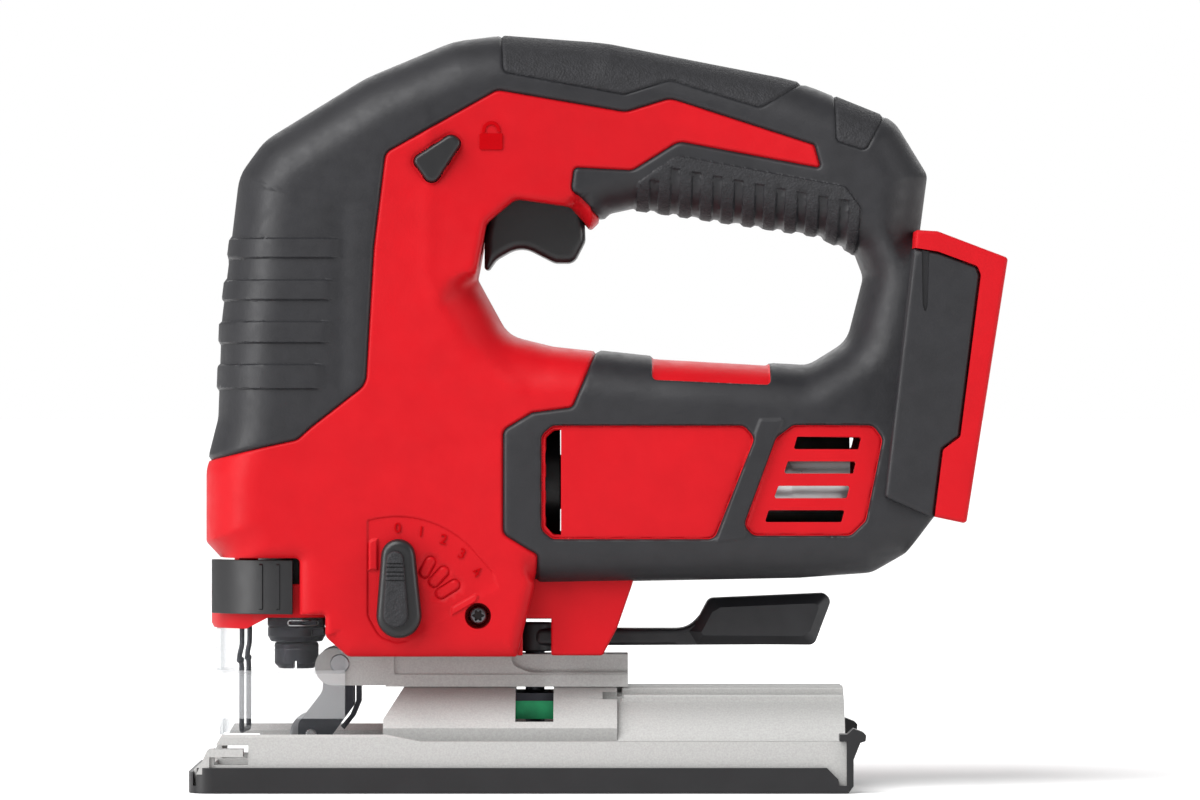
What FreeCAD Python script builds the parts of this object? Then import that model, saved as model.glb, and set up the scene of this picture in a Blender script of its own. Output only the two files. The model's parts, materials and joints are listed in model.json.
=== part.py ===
import FreeCAD, Part
import math
import os

V = FreeCAD.Vector

# ---------------------------------------------------------------- frame
# +X runs from the blade end to the battery end, +Y to the tool's right side, +Z up.
# Z = 0 is the underside of the shoe; X = 0 and Y = 0 are the middle of the whole tool.

# ---------------------------------------------------------------- driving dimensions, mm
# housing
WALL = 2.6
SKIN = 1.2
NOSE_HALF = 33.0
UPPER_HALF = 27.0
MOTOR_HALF = 35.0
HANDLE_HALF = 19.0
COLUMN_HALF = 24.0
FOOT_HALF = 37.5
SHROUD_HALF = 24.0
NOSE_FRONT = -121.9
NOSE_CORNER = 24.0
NOSE_BOTTOM = 41.5
BULKHEAD_X = -32.0

# blade drive
PLUNGER_X = -94.2
ROD_R = 5.0
STROKE = 25.4
REST_LIFT = 3.0
GEAR_MODULE = 1.0
PINION_TEETH = 9
GEAR_TEETH = 45
MOTOR_Z = 95.0
GEAR_Z = MOTOR_Z + GEAR_MODULE * (PINION_TEETH + GEAR_TEETH) / 2
CRANK_R = STROKE / 2
CRANK_PIN_R = 4.0
CRANK_PIN_Z = GEAR_Z - (CRANK_R - REST_LIFT)
CRANK_PIN_Y = math.sqrt(CRANK_R**2 - (CRANK_R - REST_LIFT)**2)
GEAR_FRONT_X = -70.0
GEAR_WIDTH = 9.0
YOKE_BACK_X = -80.0
YOKE_THICK = 4.0
CASE_LOW_Z = 77.0
CASE_ARM = 11.0
CASE_TOP_Z = 170.0
CASE_HALF = 22.0
CLAMP_LOW_Z = 36.9
CLAMP_MID_Z = 45.2
CLAMP_TOP_Z = 53.3
CLAMP_R = 6.9
COLLAR_R = 9.1
NECK_R = 5.9

# nose ring, release lever, guard and shield
RING_IN = 24.5
RING_OUT = 26.5
RING_LOW_Z = 50.0
RING_SLOT_Z = 63.7
LEVER_IN = 27.0
LEVER_OUT = 29.5
LEVER_LOW_Z = 54.5
LEVER_TOP_Z = 71.2
LEVER_FROM = 209.0
LEVER_TO = 270.0
LEVER_TURN = 60.0
GUARD_X = -111.7
GUARD_HALF = 10.9
GUARD_R = 0.8
SHIELD_FRONT = -119.0
SHIELD_BACK = -78.6
SHIELD_HALF = 14.0
SHIELD_CORNER = 8.0
SHIELD_TAB_X = -101.4
SHIELD_TAB_Z = 53.7
SHIELD_WALL = 1.3
SHIELD_LOW_Z = 16.5
SHIELD_TOP_Z = 49.5

# roller arm
PIVOT_X = -80.3
PIVOT_Z = 38.6
PIVOT_R = 3.0
ROLLER_X = -89.4
ROLLER_Z = 16.5
ROLLER_R = 6.7
ROLLER_PIN_R = 1.7
EAR_IN = 8.2
EAR_OUT = 12.2
ARM_HALF = 7.9
ARM_INNER = 5.4
ROLLER_HALF = 4.4

# shoe
SOLE_FRONT = -126.0
SHOE_FRONT = -124.4
SHOE_BACK = 76.3
SHOE_HALF = 39.0
COVER_HALF = 41.0
COVER_FLOOR = 2.2
COVER_LIP_Z = 7.7
PLATE_TOP = 7.0
FLANGE = 3.0
RIDGE_Y = 38.15
RIDGE_Z = 17.85
SHOE_CORNER = 6.0
HUMP_R = 33.6
DUCT_R = 31.5
HUMP_WALL = 3.0
HUMP_FRONT = -66.4
HUMP_BACK = 5.9
WINDOW_FRONT = -120.2
WINDOW_BACK = -76.0
WINDOW_HALF = 27.5
COVER_WINDOW_HALF = 24.0

# bevel clamp
BEVEL_X = -19.7
BEVEL_R = 3.0
BEVEL_SLOT_HALF = 5.9
BEVEL_HUB_R = 5.6
BEVEL_SLOT_DEG = 50.8
SADDLE_GAP = 0.3
SADDLE_HALF = 12.5

# motor
CAN_R = 23.0
CAN_WALL = 2.0
CAN_FRONT = -4.0
CAN_BACK = 60.0
CAP_BACK = 78.0
ROTOR_R = 16.8
SHAFT_R = 4.0
PINION_BORE = 2.2
BEARING_R = 11.0

# switch, selector and screws
TRIGGER_HALF = 8.0
LOCK_CLEAR = 0.4
SELECTOR_X = -61.5
SELECTOR_Z = 54.3
SELECTOR_SHAFT_R = 4.0
SCREW_R = 1.9
SCREW_HEAD_R = 3.1
BOSS_R = 4.5

# side outlines: (x, z, corner radius)
BODY = [
    (-117.5, 71.8, 1), (-121.9, 76.5, 2), (-121.9, 98.7, 12), (-117.8, 115.0, 10),
    (-116.8, 145.0, 40), (-111.5, 190.0, 9), (-103.5, 201.1, 9), (-45.0, 231.4, 14),
    (-31.0, 233.8, 6), (1.0, 231.5, 60), (63.0, 219.0, 40), (89.7, 208.5, 7),
    (101.4, 188.7, 8), (99.7, 172.0, 4), (104.0, 150.0, 4), (104.0, 86.0, 4),
    (94.3, 73.2, 5), (84.5, 67.6, 5), (61.9, 66.2, 20), (-19.4, 64.4, 1),
    (-25.0, 41.5, 1), (-77.0, 41.5, 1), (-84.0, 47.6, 1), (-84.0, 54.4, 1),
    (-92.0, 54.4, 1), (-92.0, 71.8, 1),
]
HAND_HOLE = [
    (12.4, 180.9, 3), (79.7, 166.9, 5), (83.4, 159.0, 6), (78.3, 138.8, 8),
    (65.9, 131.0, 8), (18.3, 133.7, 30), (-11.9, 136.9, 20), (-29.1, 148.7, 14),
    (-36.4, 162.5, 6), (-34.6, 175.5, 4), (-25.6, 183.0, 4), (-8.7, 180.6, 2),
    (-3.0, 175.0, 1), (3.0, 179.5, 2),
]
FOOT = [
    (97.7, 172.9, 1), (104.4, 172.5, 2), (126.0, 164.3, 3), (113.2, 82.6, 3),
    (103.3, 84.7, 2), (88.5, 91.1, 2), (97.0, 165.0, 1),
]
BLACK_AREA = [
    (-130.0, 100.5, 0), (-120.0, 102.3, 0), (-92.7, 108.3, 2), (-88.3, 112.3, 3), (-71.5, 125.4, 5),
    (-69.1, 167.7, 5), (-65.6, 197.0, 3), (-31.2, 216.5, 4), (8.6, 209.8, 4),
    (22.4, 214.1, 3), (66.9, 199.6, 1), (68.9, 192.5, 1), (25.0, 200.8, 4),
    (10.7, 191.8, 3), (-7.4, 192.7, 1), (-8.3, 185.7, 2), (1.4, 175.7, 0),
    (5.0, 160.0, 0), (5.0, 140.0, 0), (-0.9, 135.5, 0), (-7.9, 118.4, 2),
    (-20.3, 116.8, 3), (-29.3, 111.4, 3), (-29.3, 79.3, 3), (-18.6, 72.7, 2),
    (-19.4, 58.0, 0), (103.0, 58.0, 0), (103.0, 84.7, 0), (105.8, 105.5, 2),
    (111.1, 109.4, 2), (117.8, 160.2, 2), (104.4, 166.0, 2), (97.5, 167.6, 0),
    (97.0, 174.0, 0), (110.0, 174.0, 0), (110.0, 240.0, 0), (-130.0, 240.0, 0),
]
SIDE_PANEL = [
    (-17.4, 79.5, 2), (-17.4, 111.5, 2), (-14.1, 112.7, 2), (47.0, 112.7, 2),
    (35.4, 78.6, 2), (-14.1, 77.8, 2),
]
GRILLE = [
    (58.5, 112.9, 2), (86.5, 112.9, 2), (81.5, 78.9, 2), (44.5, 78.9, 2),
]
TOP_PATCH = [(16.7, 140.0, 0), (53.2, 140.0, 0), (53.2, 125.2, 1), (16.7, 126.8, 1)]
SHROUD = [
    (-25.0, 66.0, 0), (11.4, 66.0, 0), (10.4, 63.1, 0), (6.0, 50.3, 2), (1.2, 41.5, 2),
    (-25.0, 41.5, 0),
]
LOCK_CAP = [(-57.7, 194.9, 2), (-45.3, 203.2, 3), (-41.6, 200.3, 2), (-51.3, 185.6, 3)]
TRIGGER = [
    (-36.2, 161.2, 1), (-32.8, 166.6, 3), (-24.0, 169.4, 6), (-13.5, 163.6, 3),
    (-7.4, 163.6, 3), (-4.1, 170.0, 4), (-4.6, 188.0, 2), (-32.0, 188.0, 2),
    (-35.4, 172.0, 2),
]
# zone boxes: x from, x to, z from, z to, half width
ZONES = [
    (-126.0, BULKHEAD_X, 35.0, 142.0, NOSE_HALF),
    (-126.0, BULKHEAD_X, 130.0, 240.0, UPPER_HALF),
    (-60.0, -18.0, 35.0, 74.0, NOSE_HALF),
    (-45.0, -5.0, 115.0, 165.0, 29.0),
    (BULKHEAD_X, 108.0, 58.0, 137.0, MOTOR_HALF),
    (60.0, 108.0, 125.0, 180.0, COLUMN_HALF),
    (-45.0, 108.0, 160.0, 240.0, HANDLE_HALF),
]
# housing screws: x, z, local half width, side of the head (+1 right, -1 left)
SCREWS = [
    (-37.0, 54.1, NOSE_HALF, -1), (-107.0, 186.0, 24.0, 1), (-62.0, 213.0, UPPER_HALF, 1),
    (22.0, 219.0, HANDLE_HALF, 1), (80.0, 196.0, HANDLE_HALF, 1), (90.0, 152.0, COLUMN_HALF, 1),
    (88.0, 79.0, MOTOR_HALF, 1), (-12.0, 126.0, MOTOR_HALF, 1),
]


# ---------------------------------------------------------------- shape helpers
def wire(corners, place):
    """Closed wire through (u, v, radius) corners; place(u, v) gives the point in space."""
    count = len(corners)
    starts, ends, mids = [], [], []
    for i, (u, v, radius) in enumerate(corners):
        here = V(u, v, 0)
        back = V(corners[i - 1][0], corners[i - 1][1], 0) - here
        ahead = V(corners[(i + 1) % count][0], corners[(i + 1) % count][1], 0) - here
        back.normalize()
        ahead.normalize()
        half = back.getAngle(ahead) / 2
        if radius <= 0 or half > math.radians(89.5):
            starts.append(here)
            ends.append(here)
            mids.append(None)
            continue
        reach = radius / math.tan(half)
        middle = back + ahead
        middle.normalize()
        starts.append(here + back * reach)
        ends.append(here + ahead * reach)
        mids.append(here + middle * (radius / math.sin(half) - radius))
    edges = []
    for i in range(count):
        if mids[i] is not None:
            points = [place(p.x, p.y) for p in (starts[i], mids[i], ends[i])]
            edges.append(Part.Arc(*points).toShape())
        a, b = ends[i], starts[(i + 1) % count]
        if (b - a).Length > 1e-4:
            edges.append(Part.LineSegment(place(a.x, a.y), place(b.x, b.y)).toShape())
    return Part.Wire(Part.__sortEdges__(edges))


def grown(corners, d):
    """The same outline moved outwards by d (inwards if negative), with matching corner radii."""
    count = len(corners)
    area = sum(corners[i - 1][0] * corners[i][1] - corners[i][0] * corners[i - 1][1] for i in range(count))
    turn = 1 if area > 0 else -1
    result = []
    for i, (u, v, radius) in enumerate(corners):
        a = V(u - corners[i - 1][0], v - corners[i - 1][1], 0).normalize()
        b = V(corners[(i + 1) % count][0] - u, corners[(i + 1) % count][1] - v, 0).normalize()
        normal_a = V(a.y, -a.x, 0) * turn
        normal_b = V(b.y, -b.x, 0) * turn
        middle = (normal_a + normal_b).normalize()
        reach = d / max(0.35, middle.dot(normal_a))
        convex = (a.x * b.y - a.y * b.x) * turn > 0
        new_radius = radius + d if convex else radius - d
        result.append((u + middle.x * reach, v + middle.y * reach, max(0.0, new_radius) if radius else 0))
    return result


def side_plate(corners, y0, y1):
    """Outline in the XZ plane, extruded from y0 to y1."""
    face = Part.Face(wire(corners, lambda u, v: V(u, y0, v)))
    return face.extrude(V(0, y1 - y0, 0))


def plan_plate(corners, z0, z1):
    """Outline in the XY plane, extruded from z0 to z1."""
    face = Part.Face(wire(corners, lambda u, v: V(u, v, z0)))
    return face.extrude(V(0, 0, z1 - z0))


def box(x0, x1, y0, y1, z0, z1):
    return Part.makeBox(x1 - x0, y1 - y0, z1 - z0, V(x0, y0, z0))


def rod_x(r, x0, x1, y=0.0, z=0.0):
    return Part.makeCylinder(r, x1 - x0, V(x0, y, z), V(1, 0, 0))


def rod_y(r, y0, y1, x=0.0, z=0.0):
    return Part.makeCylinder(r, y1 - y0, V(x, y0, z), V(0, 1, 0))


def rod_z(r, z0, z1, x=0.0, y=0.0):
    return Part.makeCylinder(r, z1 - z0, V(x, y, z0), V(0, 0, 1))


def tube_x(outer, inner, x0, x1, y=0.0, z=0.0):
    return rod_x(outer, x0, x1, y, z).cut(rod_x(inner, x0 - 1, x1 + 1, y, z))


def tube_z(outer, inner, z0, z1, x=0.0, y=0.0):
    return rod_z(outer, z0, z1, x, y).cut(rod_z(inner, z0 - 1, z1 + 1, x, y))


def sector_z(outer, inner, z0, z1, a0, a1):
    """Ring sector about the plunger axis, from angle a0 to a1 in degrees."""
    solid = Part.makeCylinder(outer, z1 - z0, V(PLUNGER_X, 0, z0), V(0, 0, 1), a1 - a0)
    solid.rotate(V(PLUNGER_X, 0, z0), V(0, 0, 1), a0)
    return solid.cut(rod_z(inner, z0 - 1, z1 + 1, PLUNGER_X))


def fused(parts):
    return parts[0].multiFuse(parts[1:]).removeSplitter() if len(parts) > 1 else parts[0]


def group(shapes):
    return Part.makeCompound(shapes)


def mirrored(shape):
    return shape.mirror(V(0, 0, 0), V(0, 1, 0))


def toothed(radius, root, teeth, x0, x1, y, z, phase):
    """Spur gear blank with trapezoid teeth, axis along X."""
    points = []
    pitch = 2 * math.pi / teeth
    for i in range(teeth):
        centre = phase + i * pitch
        for angle, r in ((-0.30, root), (-0.15, radius), (0.15, radius), (0.30, root)):
            a = centre + angle * pitch
            points.append(V(x0, y + r * math.sin(a), z + r * math.cos(a)))
    points.append(points[0])
    return Part.Face(Part.makePolygon(points)).extrude(V(x1 - x0, 0, 0))


# ---------------------------------------------------------------- housing
def body_solid(inset):
    """Whole body without hollows, every outer face moved inwards by inset."""
    outline = side_plate(grown(BODY, -inset), -60, 60)
    outline = outline.cut(side_plate(grown(HAND_HOLE, inset), -70, 70))
    corner = NOSE_CORNER - inset
    front = NOSE_FRONT + inset
    plan = [(front, -NOSE_HALF + inset, corner), (-40, -NOSE_HALF + inset, 0), (-40, -45, 0), (130, -45, 0),
            (130, 45, 0), (-40, 45, 0), (-40, NOSE_HALF - inset, 0), (front, NOSE_HALF - inset, corner)]
    outline = outline.common(plan_plate(plan, 30, 245))
    zones = []
    for x0, x1, z0, z1, half in ZONES:
        block = box(x0 + inset, x1 - inset, inset - half, half - inset, z0 + inset, z1 - inset)
        zones.append(outline.common(block))
    zones.append(side_plate(grown(FOOT, -inset), inset - FOOT_HALF, FOOT_HALF - inset))
    return fused(zones)


def nose_ring():
    """Ring under the nose, cut away above the slot that the release lever turns in."""
    ring = tube_z(RING_OUT, RING_IN, RING_LOW_Z, CASE_LOW_Z - 0.4, PLUNGER_X)
    slot = sector_z(RING_OUT + 1, RING_IN - 1, RING_SLOT_Z, 71.8, LEVER_FROM - LEVER_TURN - 9, LEVER_TO + 8)
    ring = ring.cut(slot)
    ring = ring.cut(box(-101.9, -60, -40, 40, RING_LOW_Z - 1, 53.4))
    bosses = []
    for side in (-1, 1):
        low_y = side * GUARD_HALF - 2.2
        bosses.append(box(-117.0, GUARD_X + 2.4, low_y, low_y + 4.4, 51.5, 58.0))
    return fused([ring] + bosses)


def screw_seat(half):
    return half - 8.0


def screw_bosses(inside):
    bosses = [rod_y(BOSS_R, -half, half, x, z) for x, z, half, side in SCREWS]
    return [boss.common(inside) for boss in bosses]


def screw_holes():
    holes = []
    for x, z, half, side in SCREWS:
        seat = screw_seat(half)
        head = rod_y(SCREW_HEAD_R + 0.3, seat, half + 5, x, z)
        hole = rod_y(SCREW_R, -12, seat + 1, x, z)
        both = head.fuse(hole)
        holes.append(both if side > 0 else mirrored(both))
    return holes


def vents():
    """Fan window in front of the side panel and the four slots of the rear grille."""
    window = [(-16.3, 78.9, 1), (-16.3, 111.6, 1), (-11.4, 111.6, 1), (-11.4, 78.9, 1)]
    cuts = [side_plate(window, -50, 50)]
    for i in range(4):
        low = 83.0 + 7.6 * i
        left = 51.3 + 2.9 * i
        right = 74.9 + 1.75 * i
        high = low + 3.9
        slot = [(left, low, 0.8), (right, low, 0.8), (right + 1, high, 0.8), (left + 1.2, high, 0.8)]
        cuts.append(side_plate(slot, -50, 50))
    return cuts


def battery_bay():
    """Recess in the foot that the battery slides into from below, with undercut rails."""
    mouth = [(112.2, 163.5, 0), (131.0, 162.0, 0), (131.0, 70.0, 0), (100.6, 70.0, 0)]
    inner = [(112.2, 163.5, 0), (119.2, 161.8, 0), (105.5, 70.0, 0), (98.6, 70.0, 0)]
    return side_plate(mouth, -27, 27).fuse(side_plate(inner, -31.5, 31.5))


def make_housing():
    outer = body_solid(0.0)
    core = body_solid(SKIN)
    inside = body_solid(WALL)
    shroud = side_plate(SHROUD, -SHROUD_HALF, SHROUD_HALF)
    pocket = box(-23.4, 20.0, -SHROUD_HALF + 3, SHROUD_HALF + 5, 40.0, 52.0)
    window = box(-23.4, -14.5, -SHROUD_HALF - 5, 0, 40.0, 53.3)
    shroud = shroud.cut(pocket).cut(window)

    area = side_plate(BLACK_AREA, -50, 50)
    for bare in (SIDE_PANEL, GRILLE, TOP_PATCH):
        area = area.cut(side_plate(bare, -55, 55))
    overmold = outer.cut(core).common(area)

    room = [(100.5, 164.0, 1), (108.5, 162.5, 1), (97.6, 88.0, 1), (92.0, 92.0, 1)]
    foot_hollow = side_plate(room, -34, 34)
    keep = side_plate(grown(FOOT, 0.5), -60, 60)
    hollow = inside.cut(keep).fuse(foot_hollow)
    shell = outer.cut(hollow)

    ribs = []
    for x in (6.0, 44.0):
        rib = box(x, x + 2, -MOTOR_HALF, MOTOR_HALF, 60, 137).common(inside)
        ribs.append(rib.cut(rod_x(CAN_R, x - 1, x + 3, 0, MOTOR_Z)))
    shell = fused([shell, shroud, nose_ring()] + ribs + screw_bosses(outer))

    cuts = screw_holes() + vents()
    cuts.append(battery_bay())
    cuts.append(rod_z(RING_IN, 30, CASE_LOW_Z - 0.4, PLUNGER_X))
    cuts.append(rod_x(SHAFT_R + 2, BULKHEAD_X - 10, BULKHEAD_X + 10, 0, MOTOR_Z))
    cuts.append(box(-56.4, -43.6, -12.4, 12.4, 36, 60))
    cuts.append(rod_z(BEVEL_HUB_R + 1.0, 36, 52.0, BEVEL_X))
    cuts.append(box(90.5, 103.0, -9.0, 9.0, 147.5, 172.0))
    cuts.append(box(-37.0, -3.2, -TRIGGER_HALF - 0.4, TRIGGER_HALF + 0.4, 166, 190))
    cuts.append(side_plate(grown(LOCK_CAP, LOCK_CLEAR), -40, 40))
    cuts.append(rod_y(SELECTOR_SHAFT_R + 0.08, -NOSE_HALF - 5, 0, SELECTOR_X, SELECTOR_Z))
    for side in (-1, 1):
        cuts.append(rod_z(GUARD_R, 50, 56, GUARD_X, side * GUARD_HALF))
    for cut in cuts:
        shell = shell.cut(cut)
        overmold = overmold.cut(cut)
    shell = shell.cut(overmold)

    left = box(-150, 150, -60, 0, 0, 260)
    right = box(-150, 150, 0, 60, 0, 260)
    save("left_housing", main_solid(shell.common(left)))
    save("right_housing", main_solid(shell.common(right)))
    save("left_overmold", overmold.common(left))
    save("right_overmold", overmold.common(right))


def main_solid(shape):
    """The largest solid; the offcuts that the slots leave behind are dropped."""
    return max(shape.Solids, key=lambda solid: solid.Volume)


def make_housing_screws():
    screws = []
    for x, z, half, side in SCREWS:
        seat = screw_seat(half)
        head = rod_y(SCREW_HEAD_R, seat, seat + 3, x, z)
        shank = rod_y(SCREW_R, -11, seat, x, z)
        recess = rod_y(1.3, seat + 1.2, seat + 4, x, z)
        screw = head.fuse(shank).cut(recess)
        screws.append(screw if side > 0 else mirrored(screw))
    save("housing_screws", group(screws))


# ---------------------------------------------------------------- shoe
def make_shoe():
    plate = box(SHOE_FRONT, SHOE_BACK, -SHOE_HALF, SHOE_HALF, COVER_FLOOR, PLATE_TOP)
    flange = [
        (SHOE_FRONT, COVER_FLOOR, 1), (-121.2, COVER_LIP_Z, 0), (-115.4, 18.1, 1), (-66.3, 18.1, 4),
        (-54.3, 15.7, 4), (SHOE_BACK, 15.7, 0.5), (SHOE_BACK, COVER_FLOOR, 3),
    ]
    walls = []
    for side in (-1, 1):
        outer = side * SHOE_HALF
        inner = side * (SHOE_HALF - FLANGE)
        walls.append(side_plate(flange, min(outer, inner), max(outer, inner)))
    flange_in = SHOE_HALF - FLANGE
    ridge = [
        (0, 60, 0), (0, 0, 0), (SHOE_HALF, 0, 0), (SHOE_HALF, RIDGE_Z + RIDGE_Y - SHOE_HALF, 0),
        (RIDGE_Y, RIDGE_Z, 0), (flange_in, RIDGE_Z - RIDGE_Y + flange_in, 0), (WINDOW_HALF, 8.0, 0),
        (WINDOW_HALF, 60, 0),
    ]
    hump = rod_x(HUMP_R, HUMP_FRONT, HUMP_BACK).fuse(rod_x(DUCT_R, HUMP_BACK, SHOE_BACK))
    slope = [(-80, 18, 0), (HUMP_FRONT, 22, 0), (-59, 33.5, 0), (-59, 50, 0), (-80, 50, 0)]
    hump = hump.cut(side_plate(slope, -60, 60))
    shoe = fused([plate] + walls + [hump])
    bore = rod_x(HUMP_R - HUMP_WALL, HUMP_FRONT - 1, HUMP_BACK - HUMP_WALL)
    bore = bore.fuse(rod_x(DUCT_R - HUMP_WALL, HUMP_BACK - HUMP_WALL - 1, SHOE_BACK + 1))
    bore = bore.cut(box(-200, 200, -60, 60, -60, PLATE_TOP))
    shoe = shoe.cut(bore).common(box(-200, 200, -60, 60, COVER_FLOOR, 60))
    shoe = shoe.cut(box(WINDOW_FRONT, WINDOW_BACK, -WINDOW_HALF, WINDOW_HALF, 0, 60))
    shoe = shoe.cut(box(-117.8, -107.4, -60, 60, 8.6, 14.7))
    slot_from = V(BEVEL_X - BEVEL_SLOT_HALF, 0, 0)
    slot = Part.makeCylinder(HUMP_R + 5, 2 * BEVEL_SLOT_HALF, slot_from, V(1, 0, 0), 2 * BEVEL_SLOT_DEG)
    slot.rotate(V(0, 0, 0), V(1, 0, 0), slot_start(slot))
    slot = slot.cut(rod_x(HUMP_R - HUMP_WALL - 2, BEVEL_X - 20, BEVEL_X + 20))
    shoe = shoe.cut(slot)
    profile = Part.Face(wire(ridge, lambda u, v: V(-150, u, v))).extrude(V(260, 0, 0))
    shoe = shoe.common(profile.fuse(mirrored(profile)))
    save("shoe", shoe.common(front_plan(SHOE_FRONT, SHOE_HALF, SHOE_CORNER)))


def front_plan(front, half, corner):
    """Plan of the shoe or its cover: square behind, rounded front corners."""
    return plan_plate([(front, -half, corner), (90, -half, 0), (90, half, 0), (front, half, corner)], -1, 60)


def slot_start(slot):
    """Turn that brings the middle of the sector slot to the top."""
    centre = slot.CenterOfMass
    return 90 - math.degrees(math.atan2(centre.z, centre.y))


def make_shoe_cover():
    cover = box(SOLE_FRONT, 77.0, -COVER_HALF, COVER_HALF, 0, COVER_FLOOR)
    wall = [
        (SOLE_FRONT, 0, 1), (SOLE_FRONT, 6.4, 0), (SOLE_FRONT + 1.2, COVER_LIP_Z, 0), (70.2, COVER_LIP_Z, 0),
        (73.7, 4.2, 0), (74.1, 0, 0),
    ]
    parts = [cover]
    for side in (-1, 1):
        outer = side * COVER_HALF
        inner = side * SHOE_HALF
        parts.append(side_plate(wall, min(outer, inner), max(outer, inner)))
    parts.append(box(SOLE_FRONT, SHOE_FRONT, -COVER_HALF, COVER_HALF, 0, COVER_LIP_Z - 1.3))
    clip = [
        (SHOE_BACK, 0.5, 0), (SHOE_BACK, 15.9, 0), (74.1, 15.9, 0), (74.1, 18.0, 0.5), (76.5, 18.0, 0),
        (78.4, 19.8, 0.5), (81.4, 18.6, 0.5), (82.3, 17.7, 0.5), (82.1, 15.9, 0.5), (80.5, 15.4, 0),
        (78.4, 10.2, 0), (78.4, 2.1, 0), (76.9, 0, 0),
    ]
    for side in (-1, 1):
        outer = side * (COVER_HALF - 0.4)
        inner = side * 33.0
        parts.append(side_plate(clip, min(outer, inner), max(outer, inner)))
    cover = fused(parts)
    cover = cover.cut(box(WINDOW_FRONT, WINDOW_BACK, -COVER_WINDOW_HALF, COVER_WINDOW_HALF, -5, 5))
    cover = cover.common(front_plan(SOLE_FRONT, COVER_HALF, SHOE_CORNER + COVER_HALF - SHOE_HALF))
    save("shoe_cover", cover)


# ---------------------------------------------------------------- saddle and bevel clamp
def make_saddle():
    block = box(-66.0, 9.3, -SADDLE_HALF, SADDLE_HALF, 25.0, NOSE_BOTTOM)
    ear = [(-88.0, 31.9, 5.7), (-88.0, 43.5, 5.7), (-77.5, 43.5, 3), (-76.3, NOSE_BOTTOM, 0.5),
           (-60.0, NOSE_BOTTOM, 0), (-60.0, 31.9, 0)]
    ears = []
    for side in (-1, 1):
        inner = side * EAR_IN
        outer = side * EAR_OUT
        ears.append(side_plate(ear, min(inner, outer), max(inner, outer)))
    saddle = fused([block] + ears)
    saddle = saddle.cut(rod_x(HUMP_R + SADDLE_GAP, -70, 20))
    saddle = saddle.cut(rod_y(PIVOT_R, -40, 40, PIVOT_X, PIVOT_Z))
    saddle = saddle.cut(rod_z(BEVEL_R + 0.3, 20, 60, BEVEL_X))
    for y in (-7.5, 7.5):
        saddle = saddle.cut(rod_z(2.2, 20, 60, -50, y)).cut(rod_z(4.2, 20, 37.2, -50, y))
    save("saddle", main_solid(saddle))
    screws = []
    for y in (-7.5, 7.5):
        head = rod_z(4.0, 34.3, 37.2, -50, y)
        shank = rod_z(2.2, 37.2, 58.0, -50, y)
        screws.append(head.fuse(shank).cut(rod_z(1.8, 34, 36, -50, y)))
    save("saddle_screws", group(screws))
    save("arm_pivot_pin", rod_y(PIVOT_R, -EAR_OUT - 0.2, EAR_OUT + 0.2, PIVOT_X, PIVOT_Z))


def make_bevel_clamp():
    nut = box(BEVEL_X - 6.2, BEVEL_X + 6.2, -6.0, 6.0, 21.2, 26.9)
    save("bevel_nut", nut.cut(rod_z(BEVEL_R + 0.05, 0, 60, BEVEL_X)))
    washer = box(BEVEL_X - 6.2, BEVEL_X + 6.2, -7.5, 7.5, 26.9, 40)
    washer = washer.common(rod_x(HUMP_R - HUMP_WALL - 0.35, -60, 60))
    save("bevel_washer", washer.cut(rod_z(BEVEL_R + 0.05, 0, 60, BEVEL_X)))
    save("bevel_screw", rod_z(BEVEL_R, 19.5, 49.0, BEVEL_X))
    core = [
        (BEVEL_X, 44.0, 0), (BEVEL_X, 49.4, 0), (28.5, 49.4, 6), (34.5, 58.6, 3), (74.0, 60.8, 4),
        (67.5, 44.0, 4),
    ]
    wings = [(20.0, 44.6, 0), (28.8, 48.8, 6), (34.5, 58.0, 3), (73.2, 60.0, 4), (67.0, 44.6, 4)]
    arm = side_plate(core, -6, 6)
    paddle = side_plate(wings, -9, 9)
    hub = rod_z(BEVEL_HUB_R, 42.2, 51.2, BEVEL_X)
    lever = fused([arm, paddle, hub]).cut(rod_z(BEVEL_R, 40, 49.0, BEVEL_X))
    save("bevel_lever", lever)


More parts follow.
